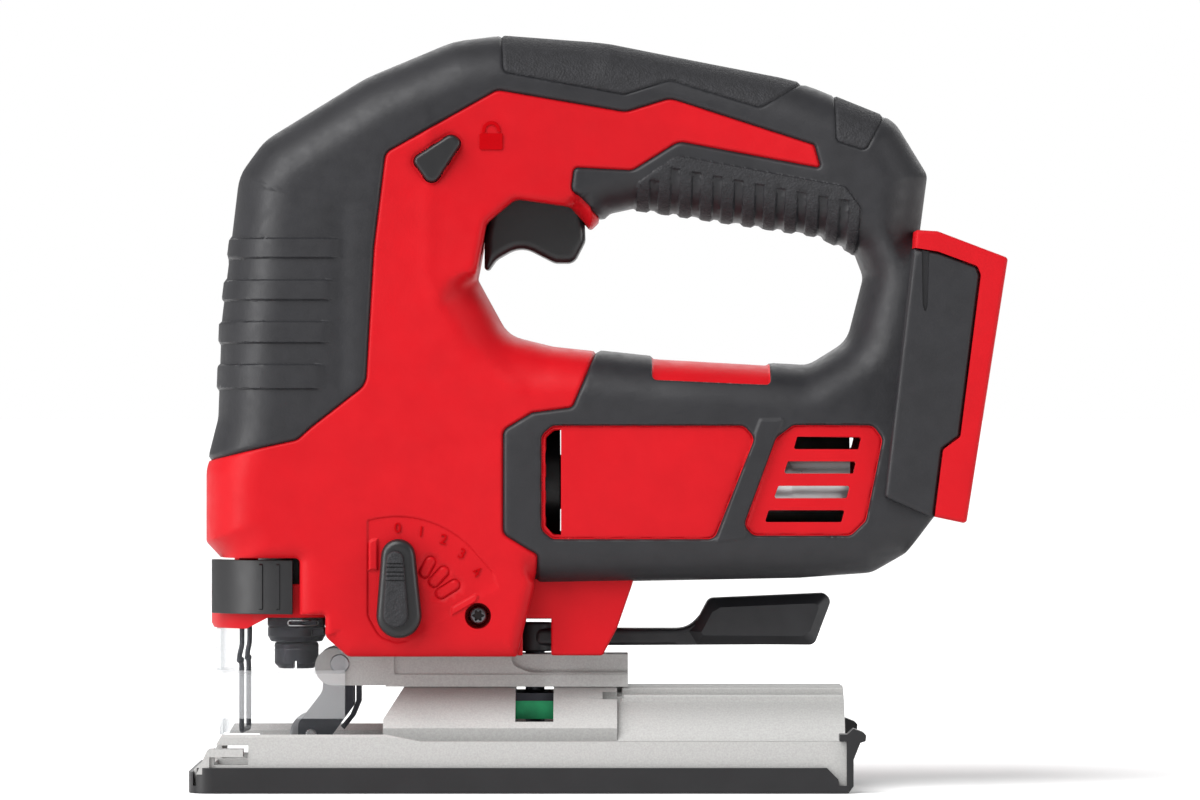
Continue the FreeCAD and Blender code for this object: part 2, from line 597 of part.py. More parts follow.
# ---------------------------------------------------------------- gear case and plunger drive
def make_gear_case():
    back = box(-55, -43, -CASE_HALF, CASE_HALF, CASE_LOW_Z, CASE_TOP_Z)
    low = box(-107, -43, -CASE_HALF + 4, CASE_HALF - 4, CASE_LOW_Z, CASE_LOW_Z + CASE_ARM)
    top = box(-107, -43, -CASE_HALF + 4, CASE_HALF - 4, CASE_TOP_Z - 13, CASE_TOP_Z)
    leg = box(-56, -44, -12, 12, NOSE_BOTTOM, CASE_LOW_Z)
    case = fused([back, low, top, leg])
    case = case.cut(rod_z(8.0, 60, 200, PLUNGER_X))
    case = case.cut(rod_x(BEARING_R, -50, -40, 0, MOTOR_Z)).cut(rod_x(6.0, -60, -40, 0, MOTOR_Z))
    case = case.cut(rod_x(5.0, -60, -40, 0, GEAR_Z))
    for y in (-7.5, 7.5):
        case = case.cut(rod_z(2.2, 30, 58.0, -50, y))
    for z in (CASE_LOW_Z + 5.5, CASE_TOP_Z - 6.5):
        for y in (-13, 13):
            case = case.cut(rod_x(1.6, -120, -97, y, z))
    save("gear_case", case)
    plate = box(-109.5, -107, -CASE_HALF + 4, CASE_HALF - 4, CASE_LOW_Z, CASE_TOP_Z)
    screws = []
    for z in (CASE_LOW_Z + 5.5, CASE_TOP_Z - 6.5):
        for y in (-13, 13):
            plate = plate.cut(rod_x(1.6, -120, -97, y, z))
            head = rod_x(3.0, -111.5, -109.5, y, z)
            screws.append(head.fuse(rod_x(1.6, -109.5, -98, y, z)))
    save("gear_case_plate", plate)
    save("gear_case_screws", group(screws))
    save("lower_bush", tube_z(8.0, ROD_R + 0.04, CASE_LOW_Z, CASE_LOW_Z + CASE_ARM, PLUNGER_X))
    save("upper_bush", tube_z(8.0, ROD_R + 0.04, CASE_TOP_Z - 13, CASE_TOP_Z, PLUNGER_X))
    save("gear_axle", rod_x(5.0, -69.6, -43.5, 0, GEAR_Z))


def make_gear():
    back = GEAR_FRONT_X + GEAR_WIDTH
    pitch_r = GEAR_MODULE * GEAR_TEETH / 2
    phase = math.pi - math.pi / GEAR_TEETH
    gear = toothed(pitch_r + 0.9, pitch_r - 1.25, GEAR_TEETH, GEAR_FRONT_X, back, 0, GEAR_Z, phase)
    gear = gear.cut(rod_x(7.5, -80, -50, 0, GEAR_Z))
    gear = gear.cut(rod_x(CRANK_PIN_R - 0.5, -80, -50, CRANK_PIN_Y, CRANK_PIN_Z))
    for i in range(5):
        angle = math.radians(130 + 40 * i) + math.atan2(CRANK_PIN_Y, CRANK_PIN_Z - GEAR_Z)
        gear = gear.cut(rod_x(3.2, -80, -50, 14.5 * math.sin(angle), GEAR_Z + 14.5 * math.cos(angle)))
    save("main_gear", gear)
    save("gear_bush", tube_x(7.5, 5.05, GEAR_FRONT_X, back, 0, GEAR_Z))
    pin = rod_x(CRANK_PIN_R, YOKE_BACK_X + 0.4, GEAR_FRONT_X, CRANK_PIN_Y, CRANK_PIN_Z)
    stem = rod_x(CRANK_PIN_R - 0.5, GEAR_FRONT_X - 0.5, back, CRANK_PIN_Y, CRANK_PIN_Z)
    save("crank_pin", pin.fuse(stem).removeSplitter())


def make_plunger():
    rod = rod_z(ROD_R, CLAMP_MID_Z + 1, 168.0, PLUNGER_X)
    save("plunger_rod", rod.cut(rod_z(1.5, 150, 170, PLUNGER_X)))
    front = YOKE_BACK_X - YOKE_THICK
    yoke = box(front, YOKE_BACK_X, -21, 21, CRANK_PIN_Z - 8, CRANK_PIN_Z + 8)
    slot = box(front - 1, YOKE_BACK_X + 1, -17, 17, CRANK_PIN_Z - 4.1, CRANK_PIN_Z + 4.1)
    block = box(PLUNGER_X - 7, front, -8, 8, CRANK_PIN_Z - 8, CRANK_PIN_Z + 8)
    yoke = yoke.cut(slot).fuse(block).cut(rod_z(ROD_R, 0, 200, PLUNGER_X))
    save("yoke", yoke.removeSplitter())
    body = rod_z(CLAMP_R, CLAMP_LOW_Z, CLAMP_MID_Z, PLUNGER_X)
    body = body.fuse(rod_z(NECK_R, CLAMP_MID_Z, CLAMP_TOP_Z, PLUNGER_X)).removeSplitter()
    body = body.cut(rod_z(ROD_R, CLAMP_MID_Z + 1, 60, PLUNGER_X))
    body = body.cut(box(PLUNGER_X - 4.2, PLUNGER_X + 4.2, -0.8, 0.8, 30, CLAMP_MID_Z - 0.5))
    save("clamp_body", body)
    collar = tube_z(COLLAR_R, NECK_R + 0.05, CLAMP_MID_Z + 0.05, CLAMP_TOP_Z, PLUNGER_X)
    for i in range(12):
        angle = math.radians(30 * i + 15)
        x = PLUNGER_X + (COLLAR_R + 0.5) * math.cos(angle)
        collar = collar.cut(rod_z(0.9, 47.0, 60, x, (COLLAR_R + 0.5) * math.sin(angle)))
    save("clamp_collar", collar)
    save("counterweight", box(-106.6, -101.7, -15, 15, 122.0, 147.0))


def make_roller_arm():
    plate = [
        (-85.7, 42.0, 3), (-85.7, 30.0, 4), (-93.4, 20.0, 3), (-93.4, 12.0, 4), (-86.0, 12.0, 4),
        (-76.1, 25.4, 3), (-76.1, 42.0, 3),
    ]
    leaf = [
        (-77.0, 38.0, 0), (-77.0, 33.5, 0), (-75.4, 33.5, 0), (-75.4, 27.0, 0), (-77.2, 22.6, 0),
        (-80.2, 19.0, 0), (-79.1, 17.9, 0), (-75.8, 22.0, 0), (-73.8, 26.8, 0), (-73.8, 38.0, 0),
    ]
    parts = [side_plate(plate, -ARM_HALF, -ARM_INNER), side_plate(plate, ARM_INNER, ARM_HALF)]
    parts.append(side_plate(leaf, -ARM_INNER, ARM_INNER))
    parts.append(rod_y(5.2, -ARM_HALF, ARM_HALF, PIVOT_X, PIVOT_Z))
    parts.append(box(-80.0, -76.4, -ARM_HALF, ARM_HALF, 26.0, 38.0))
    arm = fused(parts)
    arm = arm.cut(rod_y(PIVOT_R + 0.06, -20, 20, PIVOT_X, PIVOT_Z))
    arm = arm.cut(rod_y(ROLLER_PIN_R, -20, 20, ROLLER_X, ROLLER_Z))
    save("roller_arm", arm)
    save("roller_pin", rod_y(ROLLER_PIN_R, -ARM_HALF - 0.4, ARM_HALF + 0.4, ROLLER_X, ROLLER_Z))
    roller = rod_y(ROLLER_R, -ROLLER_HALF, ROLLER_HALF, ROLLER_X, ROLLER_Z)
    groove = rod_y(ROLLER_R + 1, -0.8, 0.8, ROLLER_X, ROLLER_Z)
    groove = groove.cut(rod_y(ROLLER_R - 2, -2, 2, ROLLER_X, ROLLER_Z))
    roller = roller.cut(groove).cut(rod_y(ROLLER_PIN_R + 0.05, -9, 9, ROLLER_X, ROLLER_Z))
    save("guide_roller", roller)


def make_release_lever():
    plate = sector_z(LEVER_OUT, LEVER_IN, LEVER_LOW_Z, LEVER_TOP_Z, LEVER_FROM, LEVER_TO)
    web = sector_z(LEVER_IN + 0.5, 11.0, 65.0, 70.5, LEVER_FROM + 6, LEVER_TO - 6)
    sleeve = tube_z(12.0, COLLAR_R + 1.1, 57.0, CASE_LOW_Z - 0.8, PLUNGER_X)
    lever = fused([plate, web, sleeve]).cut(rod_z(COLLAR_R + 1.1, 50, 80, PLUNGER_X))
    save("release_lever", lever)


def make_guard_and_shield():
    legs = []
    for side in (-1, 1):
        legs.append(rod_z(GUARD_R, 17.8, 56.0, GUARD_X, side * GUARD_HALF))
    bar = rod_y(GUARD_R, -GUARD_HALF, GUARD_HALF, GUARD_X, 17.8)
    ends = [Part.makeSphere(GUARD_R, V(GUARD_X, side * GUARD_HALF, 17.8)) for side in (-1, 1)]
    save("wire_guard", fused(legs + [bar] + ends))
    outer = [(SHIELD_FRONT, -SHIELD_HALF, SHIELD_CORNER), (SHIELD_BACK, -SHIELD_HALF, 0),
             (SHIELD_BACK, SHIELD_HALF, 0), (SHIELD_FRONT, SHIELD_HALF, SHIELD_CORNER)]
    inner = grown(outer, -SHIELD_WALL)
    inner = [(x if x < -100 else SHIELD_BACK + 5, y, r) for x, y, r in inner]
    tabs = box(SHIELD_TAB_X, SHIELD_BACK, -SHIELD_HALF, SHIELD_HALF, SHIELD_LOW_Z + 10, SHIELD_TAB_Z)
    shield = plan_plate(outer, SHIELD_LOW_Z, SHIELD_TOP_Z).fuse(tabs).cut(plan_plate(inner, 0, 60))
    save("dust_shield", shield.removeSplitter())


def make_selector():
    lever = [(-68.5, 47.3, 6.4), (-66.8, 77.9, 5.1), (-56.1, 77.9, 5.1), (-54.5, 47.3, 6.4)]
    plate = side_plate(lever, -NOSE_HALF - 5.0, -NOSE_HALF - 0.4)
    ridge = side_plate([(-64.4, 50.0, 2.5), (-64.2, 76.5, 2.5), (-58.7, 76.5, 2.5), (-58.5, 50.0, 2.5)],
                       -NOSE_HALF - 7.5, -NOSE_HALF - 4.5)
    save("selector_lever", fused([plate, ridge]))
    shaft = rod_y(SELECTOR_SHAFT_R, -NOSE_HALF - 0.4, 14.0, SELECTOR_X, SELECTOR_Z)
    flat = box(SELECTOR_X - 6, SELECTOR_X + 6, -9, 9, SELECTOR_Z - 6, SELECTOR_Z - 1.8)
    save("selector_shaft", shaft.cut(flat))


# ---------------------------------------------------------------- motor
def make_motor():
    save("motor_can", tube_x(CAN_R, CAN_R - CAN_WALL, CAN_FRONT, CAN_BACK, 0, MOTOR_Z))
    magnets = []
    for start in (20, 200):
        block = Part.makeCylinder(CAN_R - CAN_WALL, 48, V(4, 0, MOTOR_Z), V(1, 0, 0), 140)
        block.rotate(V(4, 0, MOTOR_Z), V(1, 0, 0), start)
        magnets.append(block.cut(rod_x(ROTOR_R + 0.5, 0, 60, 0, MOTOR_Z)))
    save("motor_magnets", group(magnets))
    cap = rod_x(CAN_R - 2, CAN_BACK, CAP_BACK, 0, MOTOR_Z)
    cap = cap.cut(rod_x(CAN_R - 4, CAN_BACK - 1, 70, 0, MOTOR_Z))
    cap = cap.cut(rod_x(8.0, 60, 76, 0, MOTOR_Z)).cut(rod_x(SHAFT_R + 0.6, 60, 90, 0, MOTOR_Z))
    save("motor_end_cap", cap)
    save("front_bearing", tube_x(BEARING_R, SHAFT_R + 0.03, -50, -43, 0, MOTOR_Z))
    save("rear_bearing", tube_x(8.0, SHAFT_R + 0.03, 71, 76, 0, MOTOR_Z))
    shaft = rod_x(SHAFT_R, -57.5, 76, 0, MOTOR_Z).fuse(rod_x(PINION_BORE, -71, -57.5, 0, MOTOR_Z))
    save("armature_shaft", shaft.removeSplitter())
    pitch_r = GEAR_MODULE * PINION_TEETH / 2
    pinion = toothed(pitch_r + 0.9, pitch_r - 1.2, PINION_TEETH, -71, -57.5, 0, MOTOR_Z, 0.0)
    save("pinion", pinion.cut(rod_x(PINION_BORE, -80, -50, 0, MOTOR_Z)))
    core = rod_x(ROTOR_R, 6, 50, 0, MOTOR_Z).cut(rod_x(SHAFT_R, 0, 60, 0, MOTOR_Z))
    ends = []
    for x0, x1 in ((0.5, 6), (50, 54)):
        ends.append(tube_x(ROTOR_R - 2.5, SHAFT_R, x0, x1, 0, MOTOR_Z))
    for i in range(12):
        angle = 2 * math.pi * i / 12
        y = (ROTOR_R - 2.6) * math.sin(angle)
        z = MOTOR_Z + (ROTOR_R - 2.6) * math.cos(angle)
        core = core.cut(rod_x(1.7, 0, 60, y, z))
        ends.append(rod_x(1.6, 6, 50, y, z))
    save("armature_core", core)
    save("armature_windings", group(ends))
    save("commutator", tube_x(9.0, SHAFT_R, 56, 67, 0, MOTOR_Z))
    blades = []
    for i in range(11):
        blade = box(-18, -13.5, -0.7, 0.7, 9.0, 20.5)
        blade.rotate(V(0, 0, 0), V(1, 0, 0), 360.0 * i / 11)
        blade.translate(V(0, 0, MOTOR_Z))
        blades.append(blade)
    disc = rod_x(20.5, -13.6, -11.9, 0, MOTOR_Z).fuse(rod_x(8.5, -19, -11, 0, MOTOR_Z))
    ring = tube_x(20.5, 19.0, -18, -13.5, 0, MOTOR_Z)
    fan = fused([disc, ring] + blades)
    fan = fan.cut(rod_x(SHAFT_R, -30, 0, 0, MOTOR_Z))
    save("fan", fan)
    brushes, holders = [], []
    for side in (-1, 1):
        brush = box(58.5, 64.5, -3, 3, 9.2, 16.0)
        holder = box(57.5, 65.5, -4, 4, 10.5, 17.5).cut(brush)
        for piece, bag in ((brush, brushes), (holder, holders)):
            if side < 0:
                piece.rotate(V(0, 0, 0), V(1, 0, 0), 180)
            piece.translate(V(0, 0, MOTOR_Z))
            bag.append(piece)
    save("brushes", group(brushes))
    save("brush_holders", group(holders))


# ---------------------------------------------------------------- controls and electrics
def make_controls():
    save("trigger", side_plate(TRIGGER, -TRIGGER_HALF, TRIGGER_HALF))
    near = side_plate(LOCK_CAP, -UPPER_HALF - 3.4, -19)
    far = side_plate(LOCK_CAP, 19, UPPER_HALF - 0.4)
    bar = rod_y(4.5, -19.5, 19.5, -50.5, 195.0)
    save("lock_button", fused([near, bar, far]))
    switch = box(-33, 3, -9, 9, 196.0, 214.0).cut(rod_x(2.5, 0, 10, 0, 205))
    save("switch_body", switch)
    board = side_plate([(104.0, 158.0, 0), (105.8, 158.0, 0), (97.4, 96.0, 0), (95.6, 96.0, 0)], -28, 28)
    save("control_board", board)
    block = side_plate([(112.6, 150.0, 0), (120.8, 149.0, 1), (114.8, 110.0, 1), (106.2, 111.0, 0)], -15, 15)
    slot_outline = [(113.5, 140.0, 0), (125.0, 139.0, 0), (121.5, 117.0, 0), (110.0, 118.0, 0)]
    blade_outline = [(111.9, 138.0, 0), (119.3, 137.0, 0), (116.5, 119.0, 0), (109.0, 120.0, 0)]
    blades = []
    for y in (-11.0, -4.0, 4.0, 11.0):
        slot = side_plate(slot_outline, y - 1.6, y + 1.6)
        block = block.cut(slot)
        blade = side_plate(blade_outline, y - 0.5, y + 0.5)
        blades.append(blade.common(slot))
    save("terminal_block", block)
    save("terminal_blades", group(blades))
    save("work_light_board", box(-79.5, -71, -5, 5, CASE_LOW_Z - 1.6, CASE_LOW_Z))
    lens = rod_z(3.2, CASE_LOW_Z - 7.0, CASE_LOW_Z - 1.6, -75)
    save("work_light_lens", lens)


def lead_path(corners, y):
    """Straight runs joined by tangent arcs, in the XZ plane at y."""
    points = [V(x, y, z) for x, z in corners]
    edges = []
    start = points[0]
    for i in range(1, len(points) - 1):
        here = points[i]
        back = points[i - 1] - here
        ahead = points[i + 1] - here
        reach = 0.45 * min(back.Length, ahead.Length)
        back.normalize()
        ahead.normalize()
        half = back.getAngle(ahead) / 2
        radius = reach * math.tan(half)
        middle = back + ahead
        middle.normalize()
        a = here + back * reach
        b = here + ahead * reach
        edges.append(Part.LineSegment(start, a).toShape())
        edges.append(Part.Arc(a, here + middle * (radius / math.sin(half) - radius), b).toShape())
        start = b
    edges.append(Part.LineSegment(start, points[-1]).toShape())
    return Part.Wire(edges)


def make_leads():
    route = [
        (103.0, 152.4), (96.2, 153.8), (93.6, 166.0), (93.0, 187.0),
        (84.0, 204.5), (60.0, 211.0), (32.0, 211.0), (3.0, 208.0),
    ]
    leads = []
    for y in (-6.0, 6.0):
        path = lead_path(route, y)
        direction = V(route[1][0] - route[0][0], 0, route[1][1] - route[0][1])
        circle = Part.Wire(Part.makeCircle(1.4, V(route[0][0], y, route[0][1]), direction))
        leads.append(path.makePipeShell([circle], True, True))
    save("battery_leads", group(leads))


# ---------------------------------------------------------------- export
def save(node, shape):
    solids = shape.Solids
    bad = [i for i, solid in enumerate(solids) if not solid.isValid() or solid.Volume < 0.5]
    bounds = shape.BoundBox
    print("%-20s %2d solids %9.0f mm3  x %7.1f %7.1f  y %6.1f %6.1f  z %6.1f %6.1f %s" % (
        node, len(solids), shape.Volume, bounds.XMin, bounds.XMax, bounds.YMin, bounds.YMax,
        bounds.ZMin, bounds.ZMax, "BAD %s" % bad if bad else ""))
    result = solids[0] if len(solids) == 1 else Part.makeCompound(solids)
    result.exportStep("parts/%s.step" % node)


os.makedirs("parts", exist_ok=True)
make_housing()
make_housing_screws()
make_shoe()
make_shoe_cover()
make_saddle()
make_bevel_clamp()
make_gear_case()
make_gear()
make_plunger()
make_roller_arm()
make_release_lever()
make_guard_and_shield()
make_selector()
make_motor()
make_controls()
make_leads()
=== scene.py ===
"""A bare top-handle cordless jigsaw: its looks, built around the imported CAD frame.

Tables are in millimetres; meshes are made in metres. Outlines lie in the XZ plane, seen from the tool's
left side.
"""
import json
import math
from contextlib import contextmanager

import bmesh
import bpy
import numpy as np
from mathutils import Matrix, Vector
from mathutils.geometry import delaunay_2d_cdt
from mathutils.kdtree import KDTree


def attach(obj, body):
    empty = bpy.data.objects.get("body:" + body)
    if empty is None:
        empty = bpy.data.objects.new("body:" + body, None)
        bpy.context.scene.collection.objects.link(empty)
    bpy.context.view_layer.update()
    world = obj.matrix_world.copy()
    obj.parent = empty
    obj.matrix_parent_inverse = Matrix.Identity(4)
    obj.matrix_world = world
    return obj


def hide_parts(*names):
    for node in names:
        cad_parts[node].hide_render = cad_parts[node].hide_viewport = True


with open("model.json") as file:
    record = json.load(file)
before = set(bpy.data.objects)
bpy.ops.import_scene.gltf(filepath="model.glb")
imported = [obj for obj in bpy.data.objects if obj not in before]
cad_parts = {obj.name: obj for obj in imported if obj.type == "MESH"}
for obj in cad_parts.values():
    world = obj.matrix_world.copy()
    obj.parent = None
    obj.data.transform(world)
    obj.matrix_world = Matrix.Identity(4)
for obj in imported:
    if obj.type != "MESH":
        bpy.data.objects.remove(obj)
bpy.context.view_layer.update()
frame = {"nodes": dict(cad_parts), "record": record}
nodes = frame["nodes"]
MM = 0.001

# ---------------------------------------------------------------- outlines: (x, z, corner radius)
BODY = [
    (-117.5, 71.8, 1), (-121.9, 76.5, 2), (-121.9, 98.7, 12), (-117.8, 115.0, 10),
    (-116.8, 145.0, 40), (-111.5, 190.0, 14), (-103.5, 201.1, 16), (-72.0, 220.6, 40),
    (-45.0, 232.0, 24),
    (-31.0, 233.8, 20), (1.0, 231.5, 60), (62.0, 219.6, 60), (92.0, 207.4, 10),
    (102.2, 190.6, 4), (99.7, 172.0, 4), (104.0, 150.0, 4), (104.0, 86.0, 4),
    (94.3, 73.2, 5), (84.5, 67.6, 8), (61.9, 66.0, 20), (-19.4, 64.4, 0.6),
    (-25.0, 41.5, 1), (-77.0, 41.5, 3), (-84.0, 47.6, 3), (-84.0, 54.4, 1),
    (-92.0, 54.4, 1), (-92.0, 71.8, 1.5),
]
HAND_HOLE = [
    (11.5, 181.0, 8), (69.0, 172.7, 8), (80.2, 167.4, 4), (83.4, 159.0, 6), (78.3, 138.8, 10),
    (65.9, 131.0, 10), (18.3, 133.7, 40), (-14.0, 137.2, 12), (-28.0, 140.7, 10),
    (-37.8, 158.6, 3), (-34.6, 175.5, 4), (-25.6, 183.0, 4), (-8.7, 180.6, 2),
    (-2.4, 173.4, 1.2), (3.5, 179.3, 4),
]
BLACK_AREA = [
    (-130.0, 100.2, 0), (-120.0, 102.3, 0), (-92.7, 108.3, 4), (-88.3, 112.3, 3), (-71.5, 125.4, 6),
    (-69.1, 167.7, 12), (-65.6, 197.0, 3.5), (-31.2, 216.5, 4), (8.6, 209.8, 6),
    (22.4, 214.1, 6), (66.9, 199.6, 1.5), (68.9, 192.5, 0.8), (25.0, 200.8, 5),
    (10.7, 191.8, 4), (-7.4, 192.7, 1.5), (-8.3, 185.7, 3), (1.2, 176.3, 0),
    (5.0, 160.0, 0), (5.0, 140.0, 0), (-0.9, 135.5, 0), (-7.9, 118.4, 2),
    (-20.3, 116.8, 2.5), (-29.3, 111.4, 3), (-29.3, 79.3, 3), (-18.6, 72.7, 2),
    (-19.4, 58.0, 0), (112.0, 58.0, 0), (112.0, 240.0, 0), (-130.0, 240.0, 0),
]
SIDE_PANEL = [
    (-17.4, 80.6, 3), (-17.4, 109.8, 3), (-14.1, 112.7, 3), (44.9, 112.7, 3),
    (48.2, 109.0, 3), (35.8, 77.8, 3), (-14.1, 77.8, 3),
]
FAN_WINDOW = [(-16.3, 82.0, 1), (-16.3, 109.6, 1), (-14.2, 111.6, 1), (-11.4, 111.6, 0.4),
              (-11.4, 78.9, 0.4), (-13.8, 78.9, 1)]
GRILLE = [
    (60.1, 112.9, 3), (84.8, 112.9, 3), (87.7, 108.9, 3), (82.4, 83.4, 3),
    (77.8, 78.9, 3), (47.7, 78.9, 3), (44.9, 82.1, 3), (54.8, 108.9, 3),
]
GRILLE_SLOTS = [
    [(61.3, 109.4, 0.6), (81.2, 109.4, 0.6), (80.2, 105.5, 0.6), (60.2, 105.5, 0.6)],
    [(58.4, 101.8, 0.6), (79.4, 101.8, 0.6), (78.6, 98.0, 0.6), (57.2, 98.0, 0.6)],
    [(55.5, 94.2, 0.6), (77.5, 94.2, 0.6), (76.5, 90.4, 0.6), (54.1, 90.4, 0.6)],
    [(52.5, 86.7, 0.6), (75.9, 86.7, 0.6), (74.9, 83.0, 0.6), (51.3, 83.0, 0.6)],
]
FLOOR_PATCH = [(16.7, 150.0, 0), (53.2, 150.0, 0), (53.2, 125.2, 1.5), (16.7, 126.8, 1.5)]
TOP_PATCH = [
    (-30.9, 250.0, 0), (-29.3, 222.0, 2), (8.2, 215.2, 3), (22.6, 219.8, 5), (50.4, 211.1, 3),
    (66.0, 220.5, 0), (70.0, 250.0, 0),
]
REAR_PATCH = [(72.6, 250.0, 0), (73.8, 200.7, 2), (82.8, 197.8, 2), (90.0, 211.0, 0), (96.0, 250.0, 0)]
RIB_AREA = [
    (10.5, 170.0, 0), (12.6, 188.4, 1), (25.1, 196.2, 2), (76.5, 186.6, 2), (81.2, 180.1, 2),
    (80.2, 160.0, 0),
]
LOCK_BUTTON = [(-57.7, 194.9, 2.2), (-45.3, 203.0, 2.6), (-41.8, 200.3, 2.0), (-51.3, 185.8, 2.6)]
DIAL_CENTRE = (-62.0, 52.5)
DIAL_R = 32.0
DIAL_SECTOR = [(-57.4, 46.4, 1), (-60.6, 45.6, 2), (-67.0, 47.6, 5), (-70.7, 54.0, 5), (-70.7, 83.3, 0.4)] + [
    (DIAL_CENTRE[0] + DIAL_R * math.cos(a), DIAL_CENTRE[1] + DIAL_R * math.sin(a), 0)
    for a in map(math.radians, range(104, 37, -3))] + [(-33.0, 68.0, 2), (-30.0, 62.3, 0)]
DIAL_SLOPE = [(-57.4, 46.4), (-30.0, 62.3)]
DIAL_STOPS = [
    [(-70.5, 68.3, 0), (-70.5, 76.6, 0.5), (-69.6, 77.5, 0.5), (-67.9, 77.8, 0), (-67.9, 68.3, 0)],
    [(-45.0, 56.8, 0), (-38.0, 60.8, 0), (-36.7, 60.4, 0.4), (-37.6, 58.6, 0), (-45.0, 54.4, 0)],
]
# direction in degrees and start of each raised bar, from the dial's centre
DIAL_BARS = [(60.5, 17.2), (46.5, 16.6), (32.0, 16.0)]
# figure, its centre and its lean in degrees
DIAL_NUMBERS = [
    ("0", -61.7, 81.1, 0), ("1", -54.5, 80.0, -6), ("2", -47.6, 77.6, -14), ("3", -42.0, 73.2, -24),
    ("4", -37.5, 67.6, -30),
]
TRIGGER = [
    (-35.4, 158.9, 1.2), (-31.6, 164.3, 5), (-24.0, 168.6, 8), (-13.5, 163.2, 5),
    (-7.4, 163.2, 3.5), (-3.9, 170.0, 4), (-4.6, 188.0, 2), (-32.0, 188.0, 2),
    (-35.4, 172.0, 2),
]
FOOT = [
    (97.7, 172.9, 0.8), (104.4, 172.5, 1.5), (126.0, 164.3, 1.2), (113.2, 82.6, 1.2),
    (103.3, 84.7, 1.5), (88.5, 91.1, 2), (97.0, 165.0, 1),
]
FOOT_INSET = [
    (97.0, 167.2, 0.5), (104.4, 166.0, 1), (116.4, 161.6, 1.6), (117.4, 159.0, 1.6), (111.1, 109.4, 1.5),
    (105.8, 105.5, 1.5), (103.1, 84.0, 0.5), (88.0, 90.6, 1.5),
]
FOOT_ROOM = [(100.5, 164.0, 1), (108.5, 162.5, 1), (97.6, 88.0, 1), (92.0, 92.0, 1)]
FOOT_GROOVE = [
    (99.4, 169.0, 0), (101.9, 169.0, 0), (101.3, 150.0, 0.6), (100.6, 146.8, 0.4), (99.7, 150.0, 0.6),
]
BAY_MOUTH = [(112.2, 163.5, 0), (131.0, 162.0, 0), (131.0, 70.0, 0), (100.6, 70.0, 0)]
BAY_INNER = [(112.2, 163.5, 0), (119.2, 161.8, 0), (105.5, 70.0, 0), (98.6, 70.0, 0)]
SHROUD = [
    (-26.0, 66.0, 0), (11.3, 66.0, 0), (10.4, 63.1, 0), (6.0, 50.3, 3), (1.4, 41.6, 1.2), (-14.5, 41.6, 0.8),
    (-14.5, 53.2, 0.8), (-23.3, 53.2, 0.8), (-23.3, 41.6, 0.4), (-26.0, 41.6, 0),
]
SHROUD_TOP = [(-26.0, 66.0, 0), (11.3, 66.0, 0), (10.4, 63.1, 0), (6.6, 52.2, 1), (-26.0, 52.2, 0)]

# half width of the body about a place on its side: (x, z, half width)
HALF_WIDTHS = [
    (-110, 80, 32.8), (-80, 60, 33.0), (-60, 52, 33.0), (-60, 90, 33.0), (-40, 60, 33.0), (-100, 108, 32.6),
    (-60, 118, 32.6), (-108, 140, 31.0), (-88, 140, 32.0), (-104, 172, 28.5), (-80, 172, 30.0),
    (-80, 205, 26.5), (-58, 190, 28.0), (-50, 205, 26.5), (-55, 165, 30.0), (-45, 140, 31.5),
    (-30, 195, 24.0), (-20, 215, 22.0), (-45, 222, 23.5), (5, 205, 19.0), (40, 203, 18.8),
    (75, 197, 20.0), (40, 217, 18.4), (92, 192, 22.5), (96, 160, 24.0), (84, 150, 24.0), (92, 130, 27.5),
    (-12, 100, 34.8), (30, 100, 35.2), (70, 100, 35.0), (92, 88, 34.2), (30, 74, 34.4), (60, 122, 33.6),
    (0, 122, 33.8), (-25, 125, 33.0), (-20, 75, 34.0),
]
WIDTH_BLEND = 15.0
# rounding along runs of an outline's edges: (first corner, last corner, reach in the side view, depth)
BODY_ROUNDING = [
    [(0, 5, 18.0, 24.0), (5, 10, 16.0, 21.0), (10, 14, 14.0, 17.5)],
    [(14, 17, 3.0, 3.0)],
    [(17, 20, 12.0, 13.0), (20, 21, 4.0, 3.2), (21, 23, 6.5, 2.4), (23, 25, 1.6, 1.6)],
    [(25, 26, 6.5, 3.2), (26, 27, 4.5, 3.2)],
]
HOLE_ROUNDING = [
    [(12, 15, 11.0, 14.0), (15, 17, 12.0, 16.0), (17, 20, 13.0, 20.0), (20, 22, 15.0, 22.0),
     (22, 24, 17.0, 23.0), (24, 27, 2.2, 1.8)],
]

# housing screws: x, z, half width there, side (-1 left, +1 right)
SCREWS = [
    (-37.0, 54.1, 33.0, -1), (-107.0, 186.0, 24.0, 1), (-62.0, 213.0, 27.0, 1),
    (22.0, 219.0, 19.0, 1), (80.0, 196.0, 19.0, 1), (90.0, 152.0, 24.0, 1),
    (88.0, 79.0, 35.0, 1), (-12.0, 126.0, 35.0, 1),
]
PLUNGER_X = -94.2
GUARD_X = -110.6
GUARD_HALF = 10.9
SCREW_RECESS_R = 4.1
SCREW_SEAT = 8.0
SHELL = 1.8
PARTING = 0.15


# ---------------------------------------------------------------- flat geometry
def unit(v):
    return v / max(1e-12, float(np.hypot(*v)))


